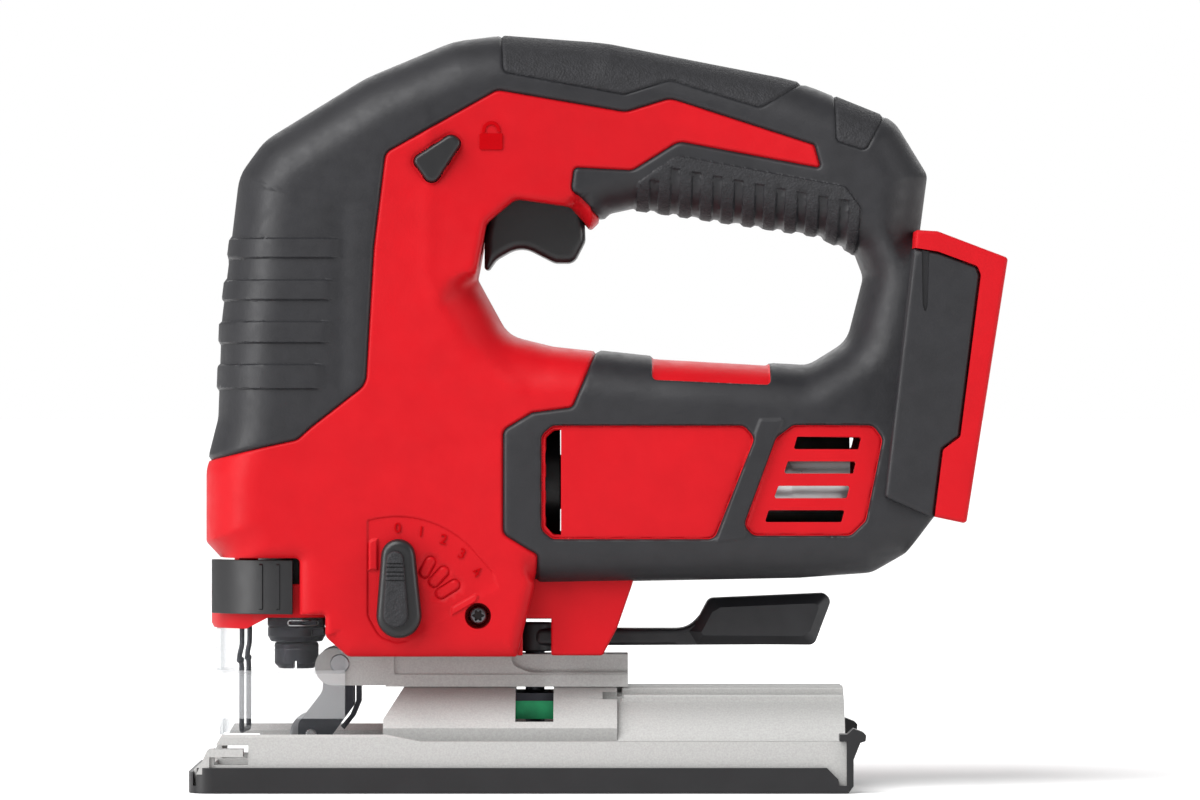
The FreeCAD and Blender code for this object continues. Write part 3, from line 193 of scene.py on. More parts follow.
def rounded(corners, closed=True, turn=math.radians(9)):
    """Points along an outline of (x, z, radius) corners, with arcs at the corners."""
    points = []
    count = len(corners)
    for i, (x, z, radius) in enumerate(corners):
        here = np.array((x, z), float)
        if radius <= 0 or (not closed and i in (0, count - 1)):
            points.append(here)
            continue
        back = np.array(corners[i - 1][:2], float) - here
        ahead = np.array(corners[(i + 1) % count][:2], float) - here
        room = 0.48 * min(np.hypot(*back), np.hypot(*ahead))
        back, ahead = unit(back), unit(ahead)
        half = math.acos(max(-1.0, min(1.0, float(back @ ahead)))) / 2
        if half > math.radians(89.7):
            points.append(here)
            continue
        reach = min(radius / math.tan(half), room)
        radius = reach * math.tan(half)
        centre = here + unit(back + ahead) * radius / math.sin(half)
        start = here + back * reach - centre
        end = here + ahead * reach - centre
        sweep = math.pi - 2 * half
        if start[0] * end[1] - start[1] * end[0] < 0:
            sweep = -sweep
        steps = max(2, int(abs(sweep) / turn) + 1)
        for k in range(steps + 1):
            a = sweep * k / steps
            c, s = math.cos(a), math.sin(a)
            points.append(centre + np.array((c * start[0] - s * start[1], s * start[0] + c * start[1])))
    return np.array(points)


def filled(line, step, closed=True):
    """The same line with points no further apart than step."""
    count = len(line)
    points = []
    for i in range(count if closed else count - 1):
        a, b = line[i], line[(i + 1) % count]
        pieces = max(1, int(math.ceil(np.hypot(*(b - a)) / step)))
        points += [a + (b - a) * k / pieces for k in range(pieces)]
    if not closed:
        points.append(line[-1])
    return np.array(points)


def stadium(a, ra, b, rb, turn=math.radians(10)):
    """The outline round two circles, from centre a with radius ra to centre b with radius rb."""
    a, b = np.array(a, float), np.array(b, float)
    run = b - a
    length = float(np.hypot(*run))
    along = math.atan2(run[1], run[0])
    lean = math.acos((ra - rb) / length)
    points = []
    for centre, radius, first, last in ((b, rb, along - lean, along + lean),
                                        (a, ra, along + lean, along + 2 * math.pi - lean)):
        steps = max(4, int((last - first) / turn))
        for k in range(steps + 1):
            t = first + (last - first) * k / steps
            points.append(centre + radius * np.array((math.cos(t), math.sin(t))))
    return np.array(points)


def distance(points, line, closed=True):
    best = np.full(len(points), 1e12)
    count = len(line)
    for i in range(count if closed else count - 1):
        a, b = line[i], line[(i + 1) % count]
        run = b - a
        length = run @ run
        if length < 1e-12:
            continue
        t = np.clip(((points - a) @ run) / length, 0, 1)
        off = points - a - t[:, None] * run
        best = np.minimum(best, (off * off).sum(1))
    return np.sqrt(best)


def inside(points, line):
    hit = np.zeros(len(points), bool)
    x, z = points[:, 0], points[:, 1]
    for (x0, z0), (x1, z1) in zip(line, np.roll(line, -1, 0)):
        if z0 == z1:
            continue
        crosses = (z0 > z) != (z1 > z)
        hit ^= crosses & (x < (x1 - x0) * (z - z0) / (z1 - z0) + x0)
    return hit


def signed(points, line):
    """Distance to a closed line, negative inside it."""
    d = distance(points, line)
    return np.where(inside(points, line), -d, d)


def grown_outline(corners, d):
    """The outline moved outwards by d, from points, with the corner radii kept."""
    line = np.array([c[:2] for c in corners], float)
    x, z = line[:, 0], line[:, 1]
    turn = 1 if float((x * np.roll(z, -1) - np.roll(x, -1) * z).sum()) > 0 else -1
    result = []
    for i, p in enumerate(line):
        a = unit(p - line[i - 1])
        b = unit(line[(i + 1) % len(line)] - p)
        na = np.array((a[1], -a[0])) * turn
        nb = np.array((b[1], -b[0])) * turn
        middle = unit(na + nb)
        q = p + middle * d / max(0.35, float(middle @ na))
        result.append((q[0], q[1], corners[i][2] + d if corners[i][2] else 0))
    return result


def smooth(t):
    t = np.clip(t, 0, 1)
    return t * t * (3 - 2 * t)


def within(d, width):
    """1 well inside a signed distance of 0, 0 outside, over a soft edge of that width."""
    return smooth(0.5 - d / width)


def beside(line, offsets, closed=True):
    """Rows of points on both sides of a line."""
    ahead = np.roll(line, -1, 0) - line
    back = line - np.roll(line, 1, 0)
    if not closed:
        ahead[-1] = back[-1]
        back[0] = ahead[0]
    along = ahead / np.maximum(1e-9, np.hypot(ahead[:, 0], ahead[:, 1]))[:, None]
    along = along + back / np.maximum(1e-9, np.hypot(back[:, 0], back[:, 1]))[:, None]
    along /= np.maximum(1e-9, np.hypot(along[:, 0], along[:, 1]))[:, None]
    normal = np.c_[-along[:, 1], along[:, 0]]
    return [line + normal * d for d in offsets]


def thinned(points, keep, gap):
    """Points that are no closer than gap to each other or to the points in keep."""
    cells = {}

    def cell(p):
        return int(p[0] // gap), int(p[1] // gap)

    def near(p):
        cx, cz = cell(p)
        for i in (cx - 1, cx, cx + 1):
            for j in (cz - 1, cz, cz + 1):
                for q in cells.get((i, j), ()):
                    if (p[0] - q[0]) ** 2 + (p[1] - q[1]) ** 2 < gap * gap:
                        return True
        return False

    for p in keep:
        cells.setdefault(cell(p), []).append(p)
    result = []
    for p in points:
        if not near(p):
            cells.setdefault(cell(p), []).append(p)
            result.append(p)
    return np.array(result).reshape(-1, 2)


# ---------------------------------------------------------------- mesh helpers
def placed(name, data):
    """A new object in the scene."""
    result = bpy.data.objects.new(name, data)
    bpy.context.scene.collection.objects.link(result)
    return result


def new_piece(name, verts, faces, materials, labels=None):
    mesh = bpy.data.meshes.new(name)
    mesh.from_pydata([tuple(v) for v in verts], [], [tuple(f) for f in faces])
    mesh.validate()
    for material in materials:
        mesh.materials.append(material)
    if labels is not None:
        mesh.polygons.foreach_set("material_index", np.asarray(labels, np.int32))
    return shade(placed(name, mesh))


def shade(piece, sharp=math.radians(35)):
    mesh = piece.data
    mesh.polygons.foreach_set("use_smooth", np.ones(len(mesh.polygons), bool))
    mesh.set_sharp_from_angle(angle=sharp)
    mesh.update()
    return piece


def applied(piece):
    """Applies the piece's modifiers to its mesh."""
    bpy.context.view_layer.update()
    evaluated = piece.evaluated_get(bpy.context.evaluated_depsgraph_get())
    mesh = bpy.data.meshes.new_from_object(evaluated)
    piece.modifiers.clear()
    piece.data = mesh
    return piece


@contextmanager
def edited(mesh):
    """The mesh as a bmesh, written back at the end."""
    work = bmesh.new()
    work.from_mesh(mesh)
    yield work
    work.to_mesh(mesh)
    work.free()


def thickened(piece, thickness):
    solid = piece.modifiers.new("shell", "SOLIDIFY")
    solid.thickness = thickness
    solid.offset = -1
    solid.use_rim = True
    return applied(piece)


def combined(piece, other, operation="DIFFERENCE"):
    """Cuts, joins or intersects piece with other, which is used up."""
    change = piece.modifiers.new("solid", "BOOLEAN")
    change.operation = operation
    change.solver = "MANIFOLD"
    change.object = other
    applied(piece)
    bpy.data.objects.remove(other)
    return piece


def joined(pieces, name):
    """One object from several, keeping their materials."""
    mesh = bpy.data.meshes.new(name)
    gathered = bmesh.new()
    materials = []
    for piece in pieces:
        start = len(gathered.faces)
        gathered.from_mesh(piece.data)
        gathered.faces.ensure_lookup_table()
        local = []
        for material in piece.data.materials:
            if material not in materials:
                materials.append(material)
            local.append(materials.index(material))
        for face in gathered.faces[start:]:
            face.material_index = local[face.material_index] if local else 0
    gathered.to_mesh(mesh)
    gathered.free()
    for material in materials:
        mesh.materials.append(material)
    for piece in pieces:
        bpy.data.objects.remove(piece)
    return placed(name, mesh)


def bevelled(piece, width, segments=2):
    bevel = piece.modifiers.new("edges", "BEVEL")
    bevel.width = width
    bevel.segments = segments
    bevel.limit_method = "ANGLE"
    bevel.angle_limit = math.radians(30)
    bevel.harden_normals = False
    bevel.use_clamp_overlap = True
    return shade(applied(piece), math.radians(40))


def softened(node, name, width, materials, segments=2):
    """A copy of a CAD node with its flat faces cleaned and its edges rounded."""
    mesh = nodes[node].data.copy()
    mesh.materials.clear()
    with edited(mesh) as work:
        bmesh.ops.remove_doubles(work, verts=work.verts, dist=1e-6)
        bmesh.ops.dissolve_limit(work, angle_limit=math.radians(1.0), verts=work.verts, edges=work.edges)
    if "custom_normal" in mesh.attributes:
        mesh.attributes.remove(mesh.attributes["custom_normal"])
    piece = placed(name, mesh)
    for material in materials:
        mesh.materials.append(material)
    return bevelled(piece, width * MM, segments)


AXES = {"x": (1, 2, 0), "y": (0, 2, 1), "z": (0, 1, 2)}


def prism(name, outline, low, high, materials, edge=0.6, axis="y", step=2.0, rows=4):
    """A plate of that outline from low to high along an axis, in millimetres.

    Its edges are rounded by edge, or chamfered with rows=1, from the distance to the outline.
    """
    line = filled(outline, step)
    x, z = line[:, 0], line[:, 1]
    if float((x * np.roll(z, -1) - np.roll(x, -1) * z).sum()) < 0:
        line = line[::-1]
    n = len(line)
    if edge <= 0:
        flat, cap = line, [tuple(range(n))]
        fall = np.zeros(n)
    else:
        angles = [math.pi / 2 * k / rows for k in range(1, rows + 1)]
        insets = [edge * (1 - math.cos(a)) for a in angles] + [edge + 0.3]
        loose = []
        for d in insets:
            ring = beside(line, (d,))[0]
            clear = distance(ring, line) > d * 0.985
            loose.append(ring[clear & inside(ring, line)])
        loose = thinned(np.vstack(loose), line, 0.12)
        edges = [(i, (i + 1) % n) for i in range(n)]
        points = [Vector(p) for p in np.vstack((line, loose))]
        result = delaunay_2d_cdt(points, edges, [], 0, 1e-5, False)
        flat = np.array([(v[0], v[1]) for v in result[0]])
        tris = np.array([f for f in result[2] if len(f) == 3])
        a, b, c = flat[tris[:, 0]], flat[tris[:, 1]], flat[tris[:, 2]]
        turn = (b[:, 0] - a[:, 0]) * (c[:, 1] - a[:, 1]) - (b[:, 1] - a[:, 1]) * (c[:, 0] - a[:, 0])
        tris[turn < 0] = tris[turn < 0][:, ::-1]
        tris = tris[inside(flat[tris].mean(1), line) & (np.abs(turn) > 1e-6)]
        t = np.clip(distance(flat, line) / edge, 0, 1)
        fall = edge * (1 - t) if rows == 1 else edge * (1 - np.sqrt(1 - (1 - t) ** 2))
        cap = [tuple(tri) for tri in tris]
    u, v, w = AXES[axis]
    verts = []
    for levels in (low + fall, high - fall):
        for p, level in zip(flat, levels):
            point = [0, 0, 0]
            point[u], point[v], point[w] = p[0] * MM, p[1] * MM, level * MM
            verts.append(point)
    m = len(flat)
    faces = [face[::-1] for face in cap] + [tuple(i + m for i in face) for face in cap]
    pairs = {(face[i - 1], face[i]) for face in cap for i in range(len(face))}
    faces += [(a, b, b + m, a + m) for a, b in sorted(pairs) if (b, a) not in pairs]
    return outwards(new_piece(name, verts, faces, materials))


def cut_through(piece, outline, low, high):
    """Cuts an outline of corners out of a piece, from low to high across the tool."""
    return combined(piece, prism("cut", rounded(outline), low, high, [], edge=0))


def across(side, near, far):
    """Two distances from the middle plane as places on that side, the lower one first."""
    return sorted((side * near, side * far))


def block(x0, x1, y0, y1, z0, z1, name="block", materials=()):
    """A box to cut or build with, in millimetres."""
    verts = [(x * MM, y * MM, z * MM) for x in (x0, x1) for y in (y0, y1) for z in (z0, z1)]
    faces = [(0, 1, 3, 2), (4, 6, 7, 5), (0, 4, 5, 1), (2, 3, 7, 6), (0, 2, 6, 4), (1, 5, 7, 3)]
    return outwards(new_piece(name, verts, faces, list(materials)))


def copied(piece, name):
    return placed(name, piece.data.copy())


def halves(piece):
    """The left and right parts of a piece, split at the parting plane."""
    other = copied(piece, "right_part")
    combined(piece, block(-400, 400, -PARTING, 400, -100, 400))
    combined(other, block(-400, 400, -400, PARTING, -100, 400))
    return shade(piece), shade(other)


def swept(name, path, section, materials, labels):
    """A section of (offset, z) points carried along an open path in plan; labels are material numbers."""
    ahead = np.gradient(path, axis=0)
    ahead /= np.hypot(ahead[:, 0], ahead[:, 1])[:, None]
    outward = np.c_[-ahead[:, 1], ahead[:, 0]]
    verts, faces, marks = [], [], []
    for p, n in zip(path, outward):
        verts += [((p[0] + n[0] * d) * MM, (p[1] + n[1] * d) * MM, z * MM) for d, z in section]
    m = len(section)
    for k in range(len(path) - 1):
        for i in range(m):
            j = (i + 1) % m
            faces.append((k * m + i, k * m + j, (k + 1) * m + j, (k + 1) * m + i))
            marks.append(labels[i])
    faces.append(tuple(range(m)))
    faces.append(tuple(range((len(path) - 1) * m, len(path) * m))[::-1])
    return outwards(new_piece(name, verts, faces, materials, marks + [0, 0]))


def outwards(piece):
    with edited(piece.data) as work:
        bmesh.ops.recalc_face_normals(work, faces=work.faces)
    return shade(piece)


def lathe(name, profile, centre, materials, axis="z", segments=64, start=0.0, sweep=360.0):
    """A turned piece: profile is (radius, level) along the axis, about centre, in millimetres."""
    full = sweep >= 360
    turns = segments if full else segments + 1
    u, v, w = AXES[axis]
    verts, faces = [], []
    for k in range(turns):
        a = math.radians(start + sweep * k / segments)
        for r, level in profile:
            point = [0, 0, 0]
            point[u] = (centre[u] + r * math.cos(a)) * MM
            point[v] = (centre[v] + r * math.sin(a)) * MM
            point[w] = (centre[w] + level) * MM
            verts.append(point)
    m = len(profile)
    for k in range(segments):
        a, b = k * m, ((k + 1) % turns) * m
        for i in range(m):
            j = (i + 1) % m
            if profile[i][0] or profile[j][0]:
                faces.append((a + i, a + j, b + j, b + i))
    if not full:
        faces.append(tuple(range(m)))
        faces.append(tuple(range((turns - 1) * m, turns * m))[::-1])
    piece = new_piece(name, verts, faces, materials)
    with edited(piece.data) as work:
        bmesh.ops.remove_doubles(work, verts=work.verts, dist=1e-7)
    return outwards(piece)


def drill(a, b, radius, segments=32):
    """A plain round cutter from a to b, in millimetres."""
    a, b = Vector(a) * MM, Vector(b) * MM
    u = (b - a).orthogonal().normalized()
    v = (b - a).normalized().cross(u)
    verts = []
    for end in (a, b):
        for k in range(segments):
            t = 2 * math.pi * k / segments
            verts.append(end + (u * math.cos(t) + v * math.sin(t)) * radius * MM)
    faces = [tuple(range(segments)), tuple(range(segments, 2 * segments))]
    for k in range(segments):
        j = (k + 1) % segments
        faces.append((k, j, j + segments, k + segments))
    return outwards(new_piece("drill", verts, faces, []))


def rod(name, a, b, radius, materials, segments=24, edge=0.3):
    """A round bar from a to b with broken edges, in millimetres."""
    a, b = Vector(a), Vector(b)
    axis = b - a
    length = axis.length
    edge = min(edge, radius * 0.5, length * 0.3)
    inner, top = radius - edge, length - edge
    profile = [(0, 0), (inner, 0), (radius, edge), (radius, top), (inner, length), (0, length)]
    piece = lathe(name, profile, (0, 0, 0), materials, "z", segments)
    turn = Vector((0, 0, 1)).rotation_difference(axis.normalized()).to_matrix().to_4x4()
    piece.data.transform(Matrix.Translation(a * MM) @ turn)
    return piece


def tube(name, path, radius, materials, sides=16):
    """A round wire along points, in millimetres, with closed ends."""
    points = [Vector(p) for p in path]
    verts, faces = [], []
    normal = None
    for i, p in enumerate(points):
        ahead = points[min(i + 1, len(points) - 1)] - points[max(i - 1, 0)]
        ahead.normalize()
        if normal is None:
            normal = ahead.orthogonal().normalized()
        normal = (normal - ahead * normal.dot(ahead)).normalized()
        across = ahead.cross(normal)
        for k in range(sides):
            a = 2 * math.pi * k / sides
            verts.append((p + (normal * math.cos(a) + across * math.sin(a)) * radius) * MM)
    for i in range(len(points) - 1):
        for k in range(sides):
            j = (k + 1) % sides
            faces.append((i * sides + k, i * sides + j, (i + 1) * sides + j, (i + 1) * sides + k))
    faces.append(tuple(range(sides))[::-1])
    faces.append(tuple(range((len(points) - 1) * sides, len(points) * sides)))
    return outwards(new_piece(name, verts, faces, materials))


def settle(piece, body, slot, *replaced):
    """Evens out the shading of all but the housing shells, hangs the piece on its body and hides the CAD
    parts it replaces.
    """
    if len(piece.data.polygons) < 30000:
        weighted = piece.modifiers.new("normals", "WEIGHTED_NORMAL")
        weighted.keep_sharp = True
        applied(piece)
    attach(piece, body)
    if replaced:
        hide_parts(*replaced)
    return piece


# ---------------------------------------------------------------- materials
def new_material(name):
    """An empty procedural material, with its node tree and its shader."""
    result = bpy.data.materials.new(name)
    result.use_nodes = True
    return result, result.node_tree, result.node_tree.nodes["Principled BSDF"]


def connect(tree, target, inputs):
    """Sets a node's inputs from values, or links them from other nodes' outputs."""
    for name, value in inputs.items():
        if isinstance(value, bpy.types.NodeSocket):
            tree.links.new(value, target.inputs[name])
        else:
            target.inputs[name].default_value = value


def output_of(tree, kind, output, inputs, **settings):
    """That output of a new shader node with those inputs."""
    node = tree.nodes.new("ShaderNode" + kind)
    for name, value in settings.items():
        setattr(node, name, value)
    connect(tree, node, inputs)
    return node.outputs[output]


def material(name, colour, metallic=0.0, roughness=0.5, grain=None, mottle=None, pits=None, scratch=None,
             specular=0.5):
    """A procedural surface.

    Grain and pits are (scale, height in mm), mottle is (scale, amount), scratch is an axis.
    """
    result, tree, shader = new_material(name)
    place = output_of(tree, "TexCoord", "Object", {})

    def noise(scale, detail, source=place):
        return output_of(tree, "TexNoise", "Fac", {"Scale": scale, "Detail": detail, "Vector": source})

    def spread(value, low, high):
        return output_of(tree, "MapRange", "Result", {
            "From Min": 0.3, "From Max": 0.7, "To Min": low, "To Max": high, "Value": value})

    def bump(height, depth, under):
        inputs = {"Distance": depth * MM, "Strength": 1.0, "Height": height}
        if under is not None:
            inputs["Normal"] = under
        return output_of(tree, "Bump", "Normal", inputs)

    scale, amount = mottle
    darker = tuple(c * (1 - amount) for c in colour)
    lighter = tuple(min(1.0, c * (1 + amount) + 0.004 * amount) for c in colour)
    patches = spread(noise(scale, 4.0), 0.0, 1.0)
    patchy = output_of(tree, "Mix", "Result", {"A": (*darker, 1), "B": (*lighter, 1), "Factor": patches},
                       data_type="RGBA")
    worn = spread(noise(scale * 2.3, 2.0), roughness * 0.9, min(1.0, roughness * 1.12))
    connect(tree, shader, {"Metallic": metallic, "Roughness": roughness, "Specular IOR Level": specular})
    connect(tree, shader, {"Base Color": patchy, "Roughness": worn})
    source = place
    if scratch:
        stretch = [0.03 if axis == scratch else 1.0 for axis in "xyz"]
        source = output_of(tree, "Mapping", "Vector", {"Scale": stretch, "Vector": place})
    normal = None
    if grain:
        normal = bump(noise(grain[0], 2.0, source), grain[1], normal)
    if pits:
        cells = output_of(tree, "TexVoronoi", "Distance", {"Scale": pits[0], "Vector": source})
        normal = bump(cells, pits[1], normal)
    if normal is not None:
        connect(tree, shader, {"Normal": normal})
    return result


FINISHES = {
    "housing_red": dict(colour=(0.40, 0.004, 0.008), roughness=0.45, grain=(1500, 0.020), mottle=(90, 0.04),
                        specular=0.12),
    "mark_red": dict(colour=(0.33, 0.001, 0.003), roughness=0.40, grain=(1500, 0.010), mottle=(90, 0.04),
                     specular=0.03),
    "overmold_black": dict(colour=(0.010, 0.010, 0.012), roughness=0.50, grain=(1300, 0.035),
                           mottle=(120, 0.12), specular=0.36),
    "plastic_black": dict(colour=(0.007, 0.007, 0.008), roughness=0.38, grain=(1600, 0.015),
                          mottle=(90, 0.12), specular=0.40),
    "lever_black": dict(colour=(0.011, 0.011, 0.013), roughness=0.50, grain=(1500, 0.030), mottle=(90, 0.15),
                        specular=0.40),
    "cast_aluminium": dict(colour=(0.37, 0.368, 0.36), metallic=0.35, roughness=0.60, grain=(2200, 0.030),
                           mottle=(1800, 0.09)),
    "bright_steel": dict(colour=(0.60, 0.60, 0.61), metallic=1.0, roughness=0.28, grain=(900, 0.006),
                         mottle=(200, 0.08)),
    "gear_steel": dict(colour=(0.32, 0.32, 0.33), metallic=1.0, roughness=0.36, grain=(800, 0.010),
                       mottle=(150, 0.15)),
    "dark_steel": dict(colour=(0.035, 0.035, 0.042), metallic=0.8, roughness=0.40, grain=(1000, 0.012),
                       mottle=(160, 0.2)),
    "screw_steel": dict(colour=(0.12, 0.12, 0.13), metallic=1.0, roughness=0.25, grain=(1200, 0.008),
                        mottle=(300, 0.2)),
    "zinc_steel": dict(colour=(0.60, 0.61, 0.62), metallic=1.0, roughness=0.30, grain=(700, 0.010),
                       mottle=(90, 0.12)),
    "steel_plate": dict(colour=(0.45, 0.45, 0.46), metallic=1.0, roughness=0.35, grain=(700, 0.010),
                        mottle=(120, 0.12)),
    "lamination_steel": dict(colour=(0.22, 0.22, 0.24), metallic=0.9, roughness=0.45, grain=(1500, 0.02),
                             mottle=(200, 0.15), scratch="y"),
    "copper_wire": dict(colour=(0.72, 0.28, 0.12), metallic=1.0, roughness=0.35, grain=(1200, 0.03),
                        mottle=(200, 0.15)),
    "bronze": dict(colour=(0.55, 0.38, 0.18), metallic=1.0, roughness=0.38, grain=(1200, 0.012),
                   mottle=(200, 0.12)),
    "magnet_grey": dict(colour=(0.09, 0.09, 0.10), metallic=0.3, roughness=0.6, grain=(900, 0.02),
                        mottle=(200, 0.15)),
    "carbon": dict(colour=(0.03, 0.03, 0.03), roughness=0.6, grain=(900, 0.02), mottle=(200, 0.15)),
    "board_green": dict(colour=(0.02, 0.14, 0.05), roughness=0.35, grain=(700, 0.02), mottle=(250, 0.2)),
    "nut_green": dict(colour=(0.02, 0.30, 0.12), metallic=0.6, roughness=0.30, grain=(500, 0.02),
                      mottle=(120, 0.3)),
    "lead_red": dict(colour=(0.50, 0.015, 0.015), roughness=0.4, grain=(900, 0.01), mottle=(150, 0.1)),
}
made = {name: material(name, **finish) for name, finish in FINISHES.items()}
made["grip_texture"] = material("grip_texture", (0.011, 0.011, 0.013), roughness=0.66, grain=(900, 0.10),
                                pits=(1500, 0.16), mottle=(500, 0.25), specular=0.35)


def clear_material(name, tint, low, high):
    """Clear plastic as a tinted film: more of it shows where it is seen edge on."""
    result, tree, shader = new_material(name)
    facing = output_of(tree, "LayerWeight", "Facing", {"Blend": 0.25})
    film = output_of(tree, "MapRange", "Result", {"To Min": low, "To Max": high, "Value": facing})
    place = output_of(tree, "TexCoord", "Object", {})
    haze = output_of(tree, "TexNoise", "Fac", {"Scale": 70, "Vector": place})
    darker = (*(c * 0.85 for c in tint), 1)
    colour = output_of(tree, "Mix", "Result", {"A": darker, "B": (*tint, 1), "Factor": haze},
                       data_type="RGBA")
    connect(tree, shader, {"Roughness": 0.06, "Specular IOR Level": 0.7, "Alpha": film, "Base Color": colour})
    return result


made["clear_plastic"] = clear_material("clear_plastic", (0.33, 0.36, 0.38), 0.04, 0.8)
made["clear_haze"] = clear_material("clear_haze", (0.86, 0.88, 0.90), 0.30, 0.8)
RED, OVERMOLD, PLASTIC, GRIP = ([made[name]] for name in ("housing_red", "overmold_black", "plastic_black",
                                                          "grip_texture"))
DARK, BRIGHT, GEAR, CAST = ([made[name]] for name in ("dark_steel", "bright_steel", "gear_steel",
                                                      "cast_aluminium"))
for part in frame["record"]["subparts"]:
    piece = nodes[part["node"]]
    if not piece.material_slots:
        piece.data.materials.append(None)
    for place in piece.material_slots:
        place.material = made[part["material_slot"]]


# ---------------------------------------------------------------- body surface
def half_width(points):
    """The body's half width at places on its side, blended from the table."""
    total = np.zeros(len(points))
    weight = np.zeros(len(points))
    for x, z, half in HALF_WIDTHS:
        away = (points[:, 0] - x) ** 2 + (points[:, 1] - z) ** 2
        w = np.exp(-away / (2 * WIDTH_BLEND ** 2)) + 1e-9
        total += w * half
        weight += w
    return total / weight


def edge_rounding(corners, run):
    """A run of an outline as points, with the reach and depth of the rounding at each of them."""
    count = len(corners)
    first, last = run[0][0], run[-1][1]
    closed = last - first == count
    line = rounded([corners[i % count] for i in range(first, last + (not closed))], closed)
    line = filled(line, 1.0, closed)
    sides = [np.array([corners[k % count][:2] for k in (i, i + 1)], float) for i in range(first, last)]
    side_of = np.array([distance(line, side, False) for side in sides]).argmin(0)
    sizes = np.zeros((len(line), 2))
    for start, end, reach, depth in run:
        sizes[(side_of >= start - first) & (side_of < end - first)] = reach, depth
    for _ in range(6):
        before, after = np.roll(sizes, 1, 0), np.roll(sizes, -1, 0)
        if not closed:
            before[0], after[-1] = sizes[0], sizes[-1]
        sizes = (before + sizes + after) / 3
    tree = KDTree(len(line))
    for i, (x, z) in enumerate(line):
        tree.insert((x, 0, z), i)
    tree.balance()
    return line, closed, sizes, tree


ROUNDINGS = [edge_rounding(BODY, run) for run in BODY_ROUNDING]
ROUNDINGS += [edge_rounding(HAND_HOLE, run) for run in HOLE_ROUNDING]


def drop(points):
    """How far the surface falls below the half width, from the rounding of the edges."""
    total = np.zeros(len(points))
    for line, closed, sizes, tree in ROUNDINGS:
        nearest = [tree.find((x, 0, z))[1] for x, z in points]
        reach, depth = sizes[nearest].T
        t = np.clip(1 - distance(points, line, closed) / reach, 0, 1)
        total += (depth * (1 - np.sqrt(np.maximum(0, 1 - t * t)))) ** 3
    return total ** (1 / 3)


LINES = {name: rounded(corners) for name, corners in {
    "body": BODY, "hole": HAND_HOLE, "black": BLACK_AREA, "panel": SIDE_PANEL, "window": FAN_WINDOW,
    "grille": GRILLE, "floor": FLOOR_PATCH, "top": TOP_PATCH, "rear": REAR_PATCH, "ribs": RIB_AREA,
    "lock": LOCK_BUTTON, "dial": DIAL_SECTOR, "foot": grown_outline(FOOT, -0.8),
}.items()}
SLOT_LINES = [rounded(slot) for slot in GRILLE_SLOTS]
STOP_LINES = [rounded(stop) for stop in DIAL_STOPS]
BAR_LINES = []
for degrees, start in DIAL_BARS:
    out = np.array((math.cos(math.radians(degrees)), math.sin(math.radians(degrees))))
    BAR_LINES.append(stadium(out * start + DIAL_CENTRE, 1.4, out * 21.0 + DIAL_CENTRE, 1.4))
RIDGE_LINE = np.array(((49.8, 114.5), (56.9, 114.5), (44.6, 78.0), (36.3, 77.0)))
GRIP_BANDS = [(164.4, 170.4, -81.1), (151.4, 157.5, -82.6), (138.2, 144.7, -83.9), (124.0, 131.5, -86.0)]
CREASE = np.array(((-52.3, 206.0), (-52.6, 159.4), (-49.2, 150.1), (-24.0, 122.8)))
RIB_PITCH = 6.55
RIB_RIGHT = 16.1
RIB_WIDTH = 3.8
RIB_COUNT = 11


def rib_slots():
    """The smooth channels between the ribs under the handle."""
    slots = []
    for i in range(RIB_COUNT - 1):
        left = RIB_RIGHT + RIB_PITCH * i
        right = left + RIB_PITCH - RIB_WIDTH
        top = min(187.2 + (left - 13) * 0.62, 192.0 - 0.19 * (left - 25))
        slots.append(np.array(((left - 0.8, 150.0), (left, top), (right, top - 0.4), (right - 0.8, 150.0))))
    return slots


RIB_SLOTS = rib_slots()


def relief(points, side):
    """Height of the surface detail along the surface normal, in millimetres."""
    black = signed(points, LINES["black"])
    height = 0.45 * smooth(-black / 1.3) - 0.75 * np.exp(-(black / 0.38) ** 2)
    for name in ("panel", "grille"):
        d = signed(points, LINES[name])
        height -= 1.15 * within(d, 0.7) + 0.65 * np.exp(-(d / 0.36) ** 2)
    floor = signed(points, LINES["floor"])
    height -= 0.9 * within(floor, 0.7)
    for name in ("top", "rear"):
        d = signed(points, LINES[name])
        height += 0.25 * within(d, 0.8) - 0.55 * np.exp(-(d / 0.32) ** 2)
    ridge = signed(points, RIDGE_LINE)
    height += 0.7 * within(ridge, 1.2)
    ribs = within(signed(points, LINES["ribs"]), 0.6)
    for slot in RIB_SLOTS:
        ribs = ribs * (1 - within(signed(points, slot), 0.6))
    height += 0.8 * ribs
    x, z = points[:, 0], points[:, 1]
    for low, high, right in GRIP_BANDS:
        band = within(np.maximum(low - z, z - high), 0.5) * smooth((right + 2.0 - x) / 2.5)
        height += 0.85 * band
    height -= 0.5 * np.exp(-((x + 79.0) / 2.8) ** 2) * smooth((z - 118) / 10) * smooth((188 - z) / 10)
    crease = distance(points, CREASE, False)
    height += 0.35 * np.exp(-(crease / 2.2) ** 2)
    lock = signed(points, LINES["lock"])
    height -= 0.35 * np.exp(-((lock - 0.4) / 0.5) ** 2)
    if side < 0:
        dial = signed(points, LINES["dial"])
        slope = distance(points, np.array(DIAL_SLOPE), False)
        height -= 0.45 * smooth(np.minimum(-dial / 0.6, slope / 3.2))
        height -= 0.50 * np.exp(-(dial / 0.32) ** 2) * smooth((slope - 2) / 4)
        for line in BAR_LINES:
            d = signed(points, line)
            height += 0.45 * within(d, 0.5) - 0.60 * np.exp(-((d - 0.15) / 0.32) ** 2)
        for line in STOP_LINES:
            height += 0.7 * within(signed(points, line), 0.5)
    return height


